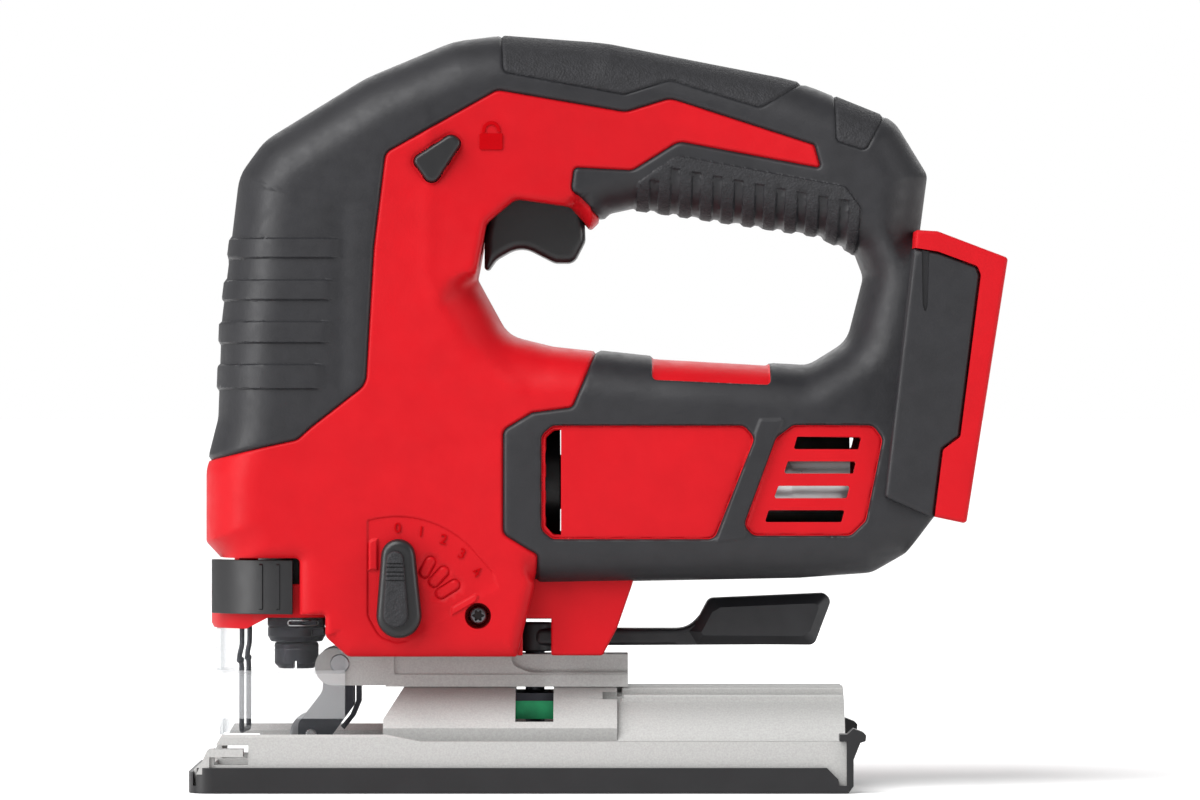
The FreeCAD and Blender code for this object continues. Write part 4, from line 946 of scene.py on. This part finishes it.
def surface_points(side):
    """Constraint lines and points of the flat drawing of one side."""
    outline = filled(LINES["body"], 1.5)
    hole = filled(LINES["hole"], 1.2)
    lines = [outline, hole]
    for name, step in (("black", 1.0), ("panel", 1.0), ("window", 1.0), ("grille", 1.0), ("floor", 1.2),
                       ("top", 1.2), ("rear", 1.2), ("ribs", 1.2), ("lock", 0.8), ("foot", 1.5)):
        lines.append(filled(LINES[name], step))
    lines += [filled(slot, 1.0) for slot in SLOT_LINES]
    for x, z, half, screw_side in SCREWS:
        if screw_side == side:
            for radius in (SCREW_RECESS_R, SCREW_RECESS_R - 0.35):
                a = np.arange(36) * math.pi / 18
                lines.append(np.c_[x + radius * np.cos(a), z + radius * np.sin(a)])
    rows = []
    for line in (outline, hole):
        for d in (0.35, 0.9, 1.7, 2.7, 3.9, 5.3, 7.0, 9.0, 11.3, 13.8):
            rows += beside(line, (d, -d))
    offsets = (0.25, -0.25, 0.5, -0.5, 0.85, -0.85, 1.4, -1.4)
    for name in ("black", "panel", "grille", "floor", "top", "rear", "ribs", "lock"):
        rows += beside(filled(LINES[name], 0.9), offsets)
    if side < 0:
        rows += beside(filled(LINES["dial"], 0.8), (0,) + offsets[:6])
        for line in BAR_LINES + STOP_LINES:
            rows += beside(filled(line, 0.6), (0, 0.3, -0.3, 0.65, -0.65))
    for slot in RIB_SLOTS:
        rows += beside(filled(slot, 0.9), (0, 0.3, -0.3))
    rows += beside(filled(RIDGE_LINE, 1.0), (0, 0.4, -0.4, 0.8, -0.8))
    for low, high, right in GRIP_BANDS:
        for z in (low, high):
            run = filled(np.array(((-121.5, z), (right + 4, z))), 1.2, False)
            rows += beside(run, (0.0, 0.28, -0.28, 0.7, -0.7), False)
    loose = np.vstack(rows)
    pitch = 1.7
    grid = []
    for j, z in enumerate(np.arange(40.0, 236.0, pitch * 0.866)):
        for x in np.arange(-123.0 + (j % 2) * pitch / 2, 106.0, pitch):
            grid.append((x, z))
    grid = np.array(grid)
    fixed = np.vstack(lines)
    body = signed(loose, LINES["body"])
    hand = signed(loose, LINES["hole"])
    loose = loose[(body < -0.28) & (hand > 0.28)]
    loose = thinned(loose, fixed, 0.21)
    body = signed(grid, LINES["body"])
    hand = signed(grid, LINES["hole"])
    grid = grid[(body < -1.0) & (hand > 1.0)]
    grid = thinned(grid, np.vstack((fixed, loose)), 0.95)
    return lines, np.vstack((loose, grid))


def shell_cutters():
    """The rooms that the mechanism passes through in the red shells."""
    return [
        block(-37.0, -3.2, -8.4, 8.4, 166.0, 190.0),                # trigger
        drill((PLUNGER_X, 0, 30), (PLUNGER_X, 0, 76.6), 24.5, 72),  # plunger
        drill((-19.7, 0, 36), (-19.7, 0, 52), 6.6),                 # bevel screw
        drill((-61.5, -50, 54.3), (-61.5, 0, 54.3), 4.2),           # selector shaft
        block(-56.4, -43.6, -12.4, 12.4, 36.0, 60.0),               # saddle screws
    ]


def surface_depth(points, side):
    return half_width(points) - drop(points) + relief(points, side)


def draped(piece, side):
    """Lays a flat piece on the body: its y is its height over the surface."""
    count = len(piece.data.vertices)
    place = np.zeros(count * 3)
    piece.data.vertices.foreach_get("co", place)
    place = place.reshape(-1, 3) / MM
    place[:, 1] = side * (surface_depth(place[:, (0, 2)], side) + place[:, 1])
    piece.data.vertices.foreach_set("co", (place * MM).ravel())
    return outwards(piece)


def body_side(side):
    """The two shells of one side, red and black, as closed thin solids."""
    lines, loose = surface_points(side)
    points, edges = [], []
    for line in lines:
        start = len(points)
        points += list(line)
        edges += [(start + i, start + (i + 1) % len(line)) for i in range(len(line))]
    points += list(loose)
    flat = delaunay_2d_cdt([Vector(p) for p in points], edges, [], 0, 1e-4, False)
    place = np.array([(v[0], v[1]) for v in flat[0]])
    tris = np.array([f for f in flat[2] if len(f) == 3])
    centre = place[tris].mean(1)
    keep = inside(centre, LINES["body"]) & ~inside(centre, LINES["hole"]) & ~inside(centre, LINES["window"])
    keep &= ~inside(centre, LINES["foot"])
    for line in SLOT_LINES + [rounded(grown_outline(LOCK_BUTTON, 0.25))]:
        keep &= ~inside(centre, line)
    tris = tris[keep]
    a, b, c = place[tris[:, 0]], place[tris[:, 1]], place[tris[:, 2]]
    turn = (b[:, 0] - a[:, 0]) * (c[:, 1] - a[:, 1]) - (b[:, 1] - a[:, 1]) * (c[:, 0] - a[:, 0])
    tris[turn * side > 0] = tris[turn * side > 0][:, ::-1]

    depth = np.maximum(half_width(place) - drop(place), 0.6)
    recess = np.zeros(len(place), bool)
    for x, z, half, screw_side in SCREWS:
        if screw_side == side:
            near = np.hypot(place[:, 0] - x, place[:, 1] - z) < SCREW_RECESS_R - 0.2
            recess |= near
            depth[near] = half - SCREW_SEAT

    # rim strips from the outline down to the parting plane
    counts = {}
    for tri in tris:
        for i in range(3):
            pair = (tri[i], tri[(i + 1) % 3])
            counts[pair] = counts.get(pair, 0) + 1
    border = [pair for pair in counts if (pair[1], pair[0]) not in counts]
    on_rim = (distance(place, LINES["body"]) < 0.02) | (distance(place, LINES["hole"]) < 0.02)
    levels = (0.82, 0.64, 0.46, 0.28, 0.12, 0.0)
    verts = [np.array((p[0], side * d, p[1])) for p, d in zip(place, depth)]
    flat_place = list(place)
    faces = [tuple(t) for t in tris]
    below = {}
    for i in sorted({v for pair in border for v in pair if on_rim[v]}):
        chain = [i]
        for level in levels:
            chain.append(len(verts))
            y = PARTING + (depth[i] - PARTING) * level
            verts.append(np.array((place[i][0], side * y, place[i][1])))
            flat_place.append(place[i])
        below[i] = chain
    for i, j in border:
        if on_rim[i] and on_rim[j]:
            for k in range(len(levels)):
                faces.append((below[j][k], below[i][k], below[i][k + 1]))
                faces.append((below[j][k], below[i][k + 1], below[j][k + 1]))
    verts = np.array(verts)
    flat_place = np.array(flat_place)
    faces = np.array(faces)

    normals = np.zeros_like(verts)
    cross = np.cross(verts[faces[:, 1]] - verts[faces[:, 0]], verts[faces[:, 2]] - verts[faces[:, 0]])
    for k in range(3):
        np.add.at(normals, faces[:, k], cross)
    normals /= np.maximum(1e-12, np.linalg.norm(normals, axis=1))[:, None]
    height = relief(flat_place, side)
    height[:len(recess)][recess] = 0
    verts = (verts + normals * height[:, None]) * MM

    middle = flat_place[faces].mean(1)
    black = inside(middle, LINES["black"])
    for name in ("panel", "grille", "floor"):
        black &= ~inside(middle, LINES[name])
    coarse = inside(middle, LINES["top"]) | inside(middle, LINES["rear"])
    ribs = inside(middle, LINES["ribs"])
    for slot in RIB_SLOTS:
        ribs &= ~inside(middle, slot)
    coarse |= ribs
    name = "left" if side < 0 else "right"
    shells = []
    for label, chosen in (("red", ~black), ("black", black)):
        used = faces[chosen]
        index = np.unique(used)
        lookup = np.zeros(len(verts), int)
        lookup[index] = np.arange(len(index))
        mats = RED if label == "red" else OVERMOLD + GRIP
        marks = np.zeros(len(used), int) if label == "red" else coarse[chosen].astype(int)
        piece = new_piece(f"{name}_{label}_shell", verts[index], lookup[used], mats, marks)
        thickened(piece, SHELL * MM)
        if label == "red":
            for cutter in shell_cutters():
                combined(piece, cutter)
        shade(piece, math.radians(50))
        shells.append(piece)
    return shells


def padlock():
    """A small raised padlock: its body and its shackle."""
    base = rounded([(-36.6, 197.9, 0.7), (-29.4, 197.9, 0.7), (-29.4, 203.0, 0.5), (-36.6, 203.0, 0.5)])

    def arc(radius, angles):
        return [(-33.0 + radius * math.cos(a), 203.9 + radius * math.sin(a))
                for a in map(math.radians, angles)]

    bow = arc(2.9, range(180, -1, -15)) + [(-30.1, 202.9)]
    bow += arc(1.75, range(0, 181, 15)) + [(-34.75, 202.9), (-35.9, 202.9)]
    red = [made["mark_red"]]
    return [prism("padlock_body", base, -0.4, 0.45, red, edge=0.15),
            prism("padlock_bow", np.array(bow), -0.4, 0.45, red, edge=0.15, step=0.8)]


def number(text, x, z, degrees):
    """A raised figure of the dial, 3.3 mm high."""
    curve = bpy.data.curves.new("number", "FONT")
    curve.body = text
    curve.size = 4.4 * MM
    curve.extrude = 0.35 * MM
    curve.bevel_depth = 0.05 * MM
    curve.align_x = "CENTER"
    curve.align_y = "CENTER"
    words = placed("number", curve)
    bpy.context.view_layer.update()
    mesh = bpy.data.meshes.new_from_object(words.evaluated_get(bpy.context.evaluated_depsgraph_get()))
    bpy.data.objects.remove(words)
    mesh.materials.clear()
    mesh.materials.append(made["mark_red"])
    piece = placed("number", mesh)
    flat = Matrix(((1, 0, 0), (0, 0, -1), (0, 1, 0))).to_4x4()
    spin = Matrix.Rotation(math.radians(-degrees), 4, "Y")
    piece.data.transform(Matrix.Translation((x * MM, 0, z * MM)) @ spin @ flat)
    return piece


def make_foot():
    """The battery foot as its red frame and its black side panels, each in two halves."""
    red = prism("foot_red", rounded(FOOT), -37.5, 37.5, RED, edge=1.2)
    cut_through(red, grown_outline(FOOT_INSET, 0.25), -45, 45)
    black = prism("foot_black", rounded(FOOT_INSET), -37.2, 37.2, OVERMOLD, edge=1.5, rows=5)
    for low, high in ((-40.0, -36.3), (36.3, 40.0)):
        cut_through(black, FOOT_GROOVE, low, high)
    for piece in (red, black):
        for outline, half in ((BAY_MOUTH, 27.0), (BAY_INNER, 31.5)):
            cut_through(piece, outline, -half, half)
        combined(piece, block(90.5, 103.0, -9.0, 9.0, 147.5, 172.0))
    cut_through(black, FOOT_ROOM, -34, 34)
    return halves(red) + halves(black)


def make_shroud():
    """The guard round the bevel lever's pivot."""
    wall = prism("shroud", rounded(SHROUD), -24.0, -20.8, RED, edge=0.8)
    top = prism("shroud_top", rounded(SHROUD_TOP), -23.9, 24.0, RED, edge=1.0)
    combined(wall, top, "UNION")
    combined(wall, block(-23.2, -14.5, -30.0, 0.0, 40.0, 53.2))
    return halves(wall)


def make_nose_ring():
    """The ring under the nose, slotted for the release lever, with the bosses of the wire guard."""
    low = [(24.5, 50.3), (24.9, 49.8), (25.8, 49.8), (26.5, 51.2), (26.5, 63.3), (26.2, 63.7), (24.8, 63.7),
           (24.5, 63.4)]
    high = [(24.5, 63.4), (26.5, 63.4), (26.5, 76.4), (24.5, 76.4)]
    centre = (PLUNGER_X, 0, 0)
    ring = lathe("ring", low, centre, RED, "z", 96)
    combined(ring, lathe("ring_back", high, centre, RED, "z", 60, 278, 222), "UNION")
    slope = [(-109.6, 49.4, 0.5), (-101.9, 53.4, 1), (-60.0, 53.4, 0), (-60.0, 45.0, 0), (-109.6, 45.0, 0)]
    cut_through(ring, slope, -45, 45)
    for side in (-1, 1):
        left, right = side * GUARD_HALF - 2.2, side * GUARD_HALF + 2.2
        plan = [(-117.0, left, 0.8), (-108.6, left, 0.8), (-108.6, right, 0.8), (-117.0, right, 0.8)]
        boss = prism("boss", rounded(plan), 51.5, 58.0, RED, edge=0.5, axis="z")
        combined(ring, boss, "UNION")
        x = GUARD_X + 0.55 + side * 0.65
        combined(ring, drill((x, side * GUARD_HALF, 50), (x, side * GUARD_HALF, 56.2), 0.9, 20))
    return halves(ring)


def make_housing():
    """Both halves of the casing, each as a red and a black piece with its share of the smaller parts."""
    feet = make_foot()
    shrouds = make_shroud()
    rings = make_nose_ring()
    for k, side, name in ((0, -1, "left"), (1, 1, "right")):
        red, black = body_side(side)
        reds = [red, feet[k], shrouds[k], rings[k]]
        if side < 0:
            marks = padlock() + [number(*figure) for figure in DIAL_NUMBERS]
            reds += [draped(mark, side) for mark in marks]
        settle(joined(reds, f"{name}_red_shell"), "tool", "housing_red", f"{name}_housing")
        grip = joined([black, feet[2 + k]], f"{name}_black_shell")
        settle(grip, "tool", "overmold_black", f"{name}_overmold")


make_housing()


# ---------------------------------------------------------------- controls
def make_screws():
    """The housing screws with their star sockets, each floored with a thin black plate as painted shade."""
    angles = np.arange(48) * math.pi / 24
    pieces = []
    for x, z, half, side in SCREWS:
        seat = half - SCREW_SEAT
        head = [(0, 0), (3.1, 0), (3.1, 2.2), (2.9, 2.6), (2.4, 2.9), (0, 2.9)]
        profile = [(r, side * (seat + level)) for r, level in head]
        screw = lathe("screw", profile, (x, 0, z), [made["screw_steel"]], "y", 40)
        r = 1.55 + 0.33 * np.cos(6 * angles)
        star = np.c_[x + r * np.cos(angles), z + r * np.sin(angles)]
        combined(screw, prism("cut", star, *across(side, seat + 1.2, seat + 4.0), [], edge=0, step=5.0))
        pieces.append(shade(screw))
        # a thin carbon-black plate at the bottom of the star cut: painted shade inside the socket
        socket_shade_plate = across(side, seat + 1.1, seat + 1.3)
        pieces.append(prism("socket_shade_plate", star, *socket_shade_plate, [made["carbon"]], edge=0, step=5.0))
        foot, tip = (x, side * (seat + 0.1), z), (x, -11 * side, z)
        pieces.append(rod("shank", foot, tip, 1.9, [made["screw_steel"]], 20))
    settle(joined(pieces, "housing_screws_piece"), "tool", "screw_steel", "housing_screws")


def make_trigger():
    piece = prism("trigger_piece", rounded(TRIGGER), -8.0, 8.0, PLASTIC, edge=2.6, step=1.2, rows=7)
    settle(piece, "trigger", "plastic_black", "trigger")


def make_lock_button():
    near = prism("lock_near", rounded(LOCK_BUTTON), -28.9, -19.0, PLASTIC, edge=1.2, step=1.0)
    far = prism("lock_far", rounded(LOCK_BUTTON), 19.0, 26.6, PLASTIC, edge=1.0, step=1.0)
    bar = rod("lock_bar", (-50.5, -19.5, 195.0), (-50.5, 19.5, 195.0), 4.5, PLASTIC, 32)
    seat = prism("lock_seat", rounded(grown_outline(LOCK_BUTTON, 1.6)), -22.5, -19.5, PLASTIC, edge=0)
    settle(joined([near, far, bar, seat], "lock_button_piece"), "lock_button", "plastic_black", "lock_button")


def make_selector():
    """The lever of the orbital selector: a tapered body with a grained, grooved ridge."""
    outline = stadium((-61.2, 54.3), 6.95, (-61.4, 72.6), 5.3)
    body = prism("selector", outline, -38.6, -33.5, PLASTIC, edge=2.2, step=1.0, rows=6)
    outline = stadium((-62.1, 54.6), 3.9, (-62.3, 71.6), 2.65)
    ridge = prism("ridge", outline, -40.5, -37.6, GRIP, edge=0.8, step=0.8, rows=4)
    for z in (70.4, 69.3, 67.8, 66.6, 65.2):
        combined(ridge, block(-67.0, -57.0, -42.0, -40.05, z - 0.22, z + 0.22))
    lever = joined([body, shade(ridge)], "selector_lever_piece")
    settle(lever, "orbit_selector", "plastic_black", "selector_lever")


def make_release_lever():
    """The curved lever over the ring, with its grip ridges."""
    lever = softened("release_lever", "release_lever_piece", 0.7, PLASTIC, 3)
    profile = [(29.2, 55.6), (29.9, 56.2), (29.9, 69.6), (29.2, 70.4)]
    ridges = [lathe("ridge", profile, (PLUNGER_X, 0, 0), PLASTIC, "z", 3, degrees - 0.9, 1.8)
              for degrees in (250.6, 261.2)]
    lever = joined([lever] + ridges, "release_lever_piece")
    settle(lever, "release_lever", "plastic_black", "release_lever")


# ---------------------------------------------------------------- blade end
def make_clamp():
    """The blade clamp: its slotted body and its turning collar."""
    centre = (PLUNGER_X, 0, 0)
    body = [(0, 36.9), (5.4, 36.9), (6.9, 38.4), (6.9, 44.4), (6.6, 44.9), (5.9, 45.2), (5.9, 53.0),
            (5.6, 53.3), (0, 53.3)]
    clamp = lathe("clamp_body_piece", body, centre, DARK, "z", 72)
    combined(clamp, block(PLUNGER_X - 4.2, PLUNGER_X + 4.2, -0.8, 0.8, 30.0, 44.7))
    combined(clamp, block(PLUNGER_X - 0.7, PLUNGER_X + 0.3, -20.0, 20.0, 30.0, 39.3))
    combined(clamp, drill((PLUNGER_X, 0, 46.2), (PLUNGER_X, 0, 60), 5.02, 40))
    settle(shade(clamp), "plunger", "dark_steel", "clamp_body")
    ring = [(5.95, 45.25), (7.9, 45.25), (8.3, 45.7), (8.7, 46.6), (9.0, 46.9), (9.0, 49.6), (8.8, 49.8),
            (8.8, 50.0), (9.1, 50.2), (9.1, 52.8), (8.7, 53.3), (5.95, 53.3)]
    collar = lathe("clamp_collar_piece", ring, centre, DARK, "z", 96)
    slot = [(-96.4, 50.5, 0.6), (-87.4, 50.5, 0.6), (-87.4, 51.8, 0.6), (-96.4, 51.8, 0.6)]
    cut_through(collar, slot, -12.0, -6.6)
    clip = prism("clip", rounded(grown_outline(slot, 0.28)), -12.0, -5.0, BRIGHT, edge=0)
    cut_through(clip, slot, -13.0, -4.0)
    sleeve = [(8.6, 49.0), (9.25, 49.0), (9.25, 53.2), (8.6, 53.2)]
    combined(clip, lathe("sleeve", sleeve, centre, [], "z", 96), "INTERSECT")
    pocket = [(-89.3, 46.9, 1.0), (-80.0, 46.9, 0), (-80.0, 49.3, 0), (-89.3, 49.3, 1.0)]
    cut_through(collar, pocket, -12.0, -3.0)
    collar = joined([shade(collar), shade(clip)], "clamp_collar_piece")
    settle(collar, "clamp_collar", "dark_steel", "clamp_collar")


def bent(points, reach):
    """A path with its corners cut to short curves."""
    result = [Vector(points[0])]
    for before, here, after in zip(points, points[1:], points[2:]):
        here = Vector(here)
        back, ahead = Vector(before) - here, Vector(after) - here
        cut = min(reach, back.length * 0.45, ahead.length * 0.45)
        a, b = here + back.normalized() * cut, here + ahead.normalized() * cut
        for k in range(6):
            t = k / 5
            result.append(a * (1 - t) ** 2 + here * 2 * t * (1 - t) + b * t * t)
    result.append(Vector(points[-1]))
    return result


def make_guard():
    """The wire guard: two legs with a set in them, joined by a bar below."""
    near, far = GUARD_X - 0.1, GUARD_X + 0.9
    y = GUARD_HALF
    path = [
        (near, -y, 55.6), (near, -y, 44.4), (near - 0.5, -y, 42.4), (near - 0.9, -y, 40.6),
        (near - 0.1, -y, 38.6), (near - 0.1, -y, 17.8),
        (far, y, 17.8), (far, y, 38.6), (far - 0.5, y, 41.0), (far + 0.3, y, 44.6), (far + 0.3, y, 55.6),
    ]
    wire = tube("wire", bent(path, 1.4), 0.8, DARK, 16)
    bands = [rod("band", (near - 0.5, -y, 38.9), (near - 0.5, -y, 40.7), 1.2, DARK, 20, 0.4),
             rod("band", (far - 0.2, y, 38.9), (far - 0.2, y, 40.7), 1.1, DARK, 20, 0.4)]
    settle(joined([wire] + bands, "wire_guard_piece"), "tool", "dark_steel", "wire_guard")


def make_shield():
    """The clear shield round the blade: its lower panel is set in and hazy, with a band near its top."""
    plan = [(-78.6, -14.0, 0), (-119.0, -14.0, 8), (-119.0, 14.0, 8), (-78.6, 14.0, 0)]
    path = filled(rounded(plan, False), 3.0, False)
    section = [(-0.9, 16.5), (-0.9, 21.6), (-0.9, 35.6), (0, 36.6), (0, 43.0), (0.35, 43.2), (0.35, 44.3),
               (0, 44.5), (0, 53.4), (-0.3, 53.7), (-1.0, 53.7), (-1.3, 53.4), (-1.3, 36.2), (-2.0, 35.2),
               (-2.0, 16.5)]
    labels = [0, 1, 1] + [0] * (len(section) - 3)
    shield = swept("dust_shield_piece", path, section, [made["clear_plastic"], made["clear_haze"]], labels)
    low = [(-130.0, 49.5, 0), (-102.6, 49.5, 1.2), (-101.4, 52.0, 1), (-101.4, 60.0, 0), (-130.0, 60.0, 0)]
    lean = [(-85.6, 60.0, 0), (-85.6, 50.5, 1), (-84.4, 47.2, 1.5), (-80.7, 45.5, 2), (-79.0, 43.0, 1),
            (-77.6, 40.8, 0), (-70.0, 40.8, 0), (-70.0, 60.0, 0)]
    for outline in (low, lean):
        cut_through(shield, outline, -20, 20)
    settle(shade(shield), "tool", "clear_plastic", "dust_shield")


def make_roller():
    arm = softened("roller_arm", "roller_arm_piece", 0.5, DARK, 3)
    settle(arm, "roller_arm", "dark_steel", "roller_arm")
    half = [(1.75, 4.4), (5.6, 4.4), (6.3, 4.2), (6.7, 3.7), (6.7, 3.0), (6.4, 2.8), (6.7, 2.6), (6.7, 1.3),
            (5.3, 0.5)]
    profile = half + [(r, -level) for r, level in half[::-1]]
    roller = lathe("guide_roller_piece", profile, (-89.4, 0, 16.5), GEAR, "y", 72)
    settle(roller, "guide_roller", "bright_steel", "guide_roller")
    pin = rod("roller_pin_piece", (-89.4, -8.3, 16.5), (-89.4, 8.3, 16.5), 1.7, BRIGHT, 32, 0.4)
    settle(pin, "roller_arm", "bright_steel", "roller_pin")
    pivot = rod("arm_pivot_pin_piece", (-80.3, -12.6, 38.6), (-80.3, 12.6, 38.6), 3.0, GEAR, 40, 0.3)
    settle(pivot, "tool", "bright_steel", "arm_pivot_pin")


# ---------------------------------------------------------------- shoe end
def make_saddle():
    """The casting between tool and shoe, with its side panel, scoop and ears."""
    saddle = softened("saddle", "saddle_piece", 0.7, CAST, 3)
    for side in (-1, 1):
        panel = [(-63.4, 35.3, 0.6), (9.8, 35.3, 0), (9.8, 42.0, 0), (-63.4, 42.0, 0)]
        cut_through(saddle, panel, *across(side, 11.8, 13.5))
        scoop = [(-27.4, 42.5, 0), (-26.4, 38.0, 3), (-21.0, 35.9, 4), (9.9, 35.9, 0), (9.9, 42.5, 0)]
        cut_through(saddle, scoop, *across(side, 9.6, 13.5))
    settle(shade(saddle), "tool", "cast_aluminium", "saddle")


def make_shoe():
    """The cast shoe, with the stepped back of its dust duct and the frames of its fence slot; its cover."""
    shoe = softened("shoe", "shoe_piece", 0.5, CAST, 2)
    for half, top in ((11.8, 31.5), (16.3, 29.3)):
        edge = [(-half, 24.0, 0), (-half, top, 0.8), (half, top, 0.8), (half, 24.0, 0)]
        rib = prism("rib", rounded(edge), 7.4, 76.2, CAST, edge=0.5, axis="x")
        combined(rib, drill((0, 0, 0), (90, 0, 0), 29.0, 96))
        combined(shoe, rib, "UNION")
    for side in (-1, 1):
        combined(shoe, block(1.4, 8.0, *across(side, 13.5, 22.0), 27.9, 30.0))
        rail = across(side, 33.0, 40.2)
        outline = [(-123.3, 5.7, 0), (-119.9, 13.2, 1), (-119.3, 13.2, 0), (-119.3, 5.7, 0)]
        combined(shoe, prism("frame_end", rounded(outline), *rail, CAST, edge=0), "UNION")
        combined(shoe, block(-119.6, -109.0, *rail, 11.0, 13.4, "lip", CAST), "UNION")
    settle(shade(shoe), "shoe", "cast_aluminium", "shoe")
    cover = softened("shoe_cover", "shoe_cover_piece", 0.5, PLASTIC, 3)
    settle(cover, "shoe", "plastic_black", "shoe_cover")


def make_bevel_lever():
    """The lever that clamps the bevel: hub, arm and a paddle with broad chamfers."""
    dark = [made["lever_black"]]
    arm = [(-19.7, 44.0, 0), (-19.7, 49.4, 0), (28.0, 49.4, 8), (36.0, 58.0, 3), (66.0, 57.0, 2),
           (64.0, 44.4, 2)]
    paddle = [(21.0, 44.6, 1), (29.4, 49.0, 7), (34.6, 58.7, 2.5), (73.4, 60.4, 2.5), (67.4, 44.3, 2.5)]
    lever = prism("arm", rounded(arm), -6.0, 6.0, dark, edge=1.4)
    combined(lever, prism("paddle", rounded(paddle), -9.0, 9.0, dark, edge=2.8, rows=1), "UNION")
    hub = [(0, 42.2), (5.2, 42.2), (5.6, 42.6), (5.6, 50.6), (5.0, 51.2), (0, 51.2)]
    combined(lever, lathe("hub", hub, (-19.7, 0, 0), dark, "z", 40), "UNION")
    combined(lever, drill((-19.7, 0, 40), (-19.7, 0, 49), 3.0))
    lever.name = "bevel_lever_piece"
    settle(shade(lever), "bevel_lever", "lever_black", "bevel_lever")


make_screws()
make_trigger()
make_lock_button()
make_selector()
make_release_lever()
make_clamp()
make_guard()
make_shield()
make_roller()
make_saddle()
make_shoe()
make_bevel_lever()


# ---------------------------------------------------------------- stage
def make_stage():
    pale = material("pale_floor", (0.92, 0.92, 0.92), roughness=0.95, mottle=(3, 0.01), specular=0.0)
    half = 40
    corners = [(-half, -half, 0), (half, -half, 0), (half, half, 0), (-half, half, 0)]
    floor = new_piece("floor", corners, [(0, 1, 2, 3)], [pale])
    floor.location.z = -0.0002


def area_light(name, place, target, size, power):
    data = bpy.data.lights.new(name, "AREA")
    data.energy = power
    data.shape = "RECTANGLE"
    data.size, data.size_y = size
    lamp = placed(name, data)
    lamp.location = place
    lamp.rotation_euler = (Vector(target) - Vector(place)).to_track_quat("-Z", "Y").to_euler()


def make_lights():
    """A studio with a white background, a broad soft sun and two softboxes that graze the sides."""
    world = bpy.data.worlds.new("studio")
    world.use_nodes = True
    tree = world.node_tree
    seen = output_of(tree, "LightPath", "Is Camera Ray", {})
    strength = output_of(tree, "MapRange", "Result", {"To Min": 0.45, "To Max": 1.0, "Value": seen})
    connect(tree, tree.nodes["Background"], {"Color": (1, 1, 1, 1), "Strength": strength})
    bpy.context.scene.world = world
    data = bpy.data.lights.new("soft_sun", "SUN")
    data.energy = 3.5
    data.angle = math.radians(45)
    sun = placed("soft_sun", data)
    sun.rotation_euler = Vector((0.42, 0.50, -0.76)).to_track_quat("-Z", "Y").to_euler()
    middle = (0, 0, 0.12)
    area_light("left_softbox", (-1.5, -0.75, 0.45), middle, (0.6, 1.2), 22)
    area_light("right_softbox", (1.5, -0.7, 0.45), middle, (0.5, 1.2), 10)
    area_light("back_softbox", (0.2, 1.5, 0.9), middle, (1.6, 0.8), 10)


def make_camera():
    """A camera square to the left side, whose picture is 375 mm wide at the tool's middle plane."""
    away, width = 2.2, 0.375
    data = bpy.data.cameras.new("camera")
    data.sensor_width = 36
    data.lens = data.sensor_width * away / width
    data.clip_start = 0.1
    camera = placed("camera", data)
    camera.location = (0.0006, -away, 0.1206)
    camera.rotation_euler = (math.radians(90), 0, 0)
    bpy.context.scene.camera = camera


make_stage()
make_lights()
make_camera()
bpy.context.scene.view_settings.view_transform = "Standard"
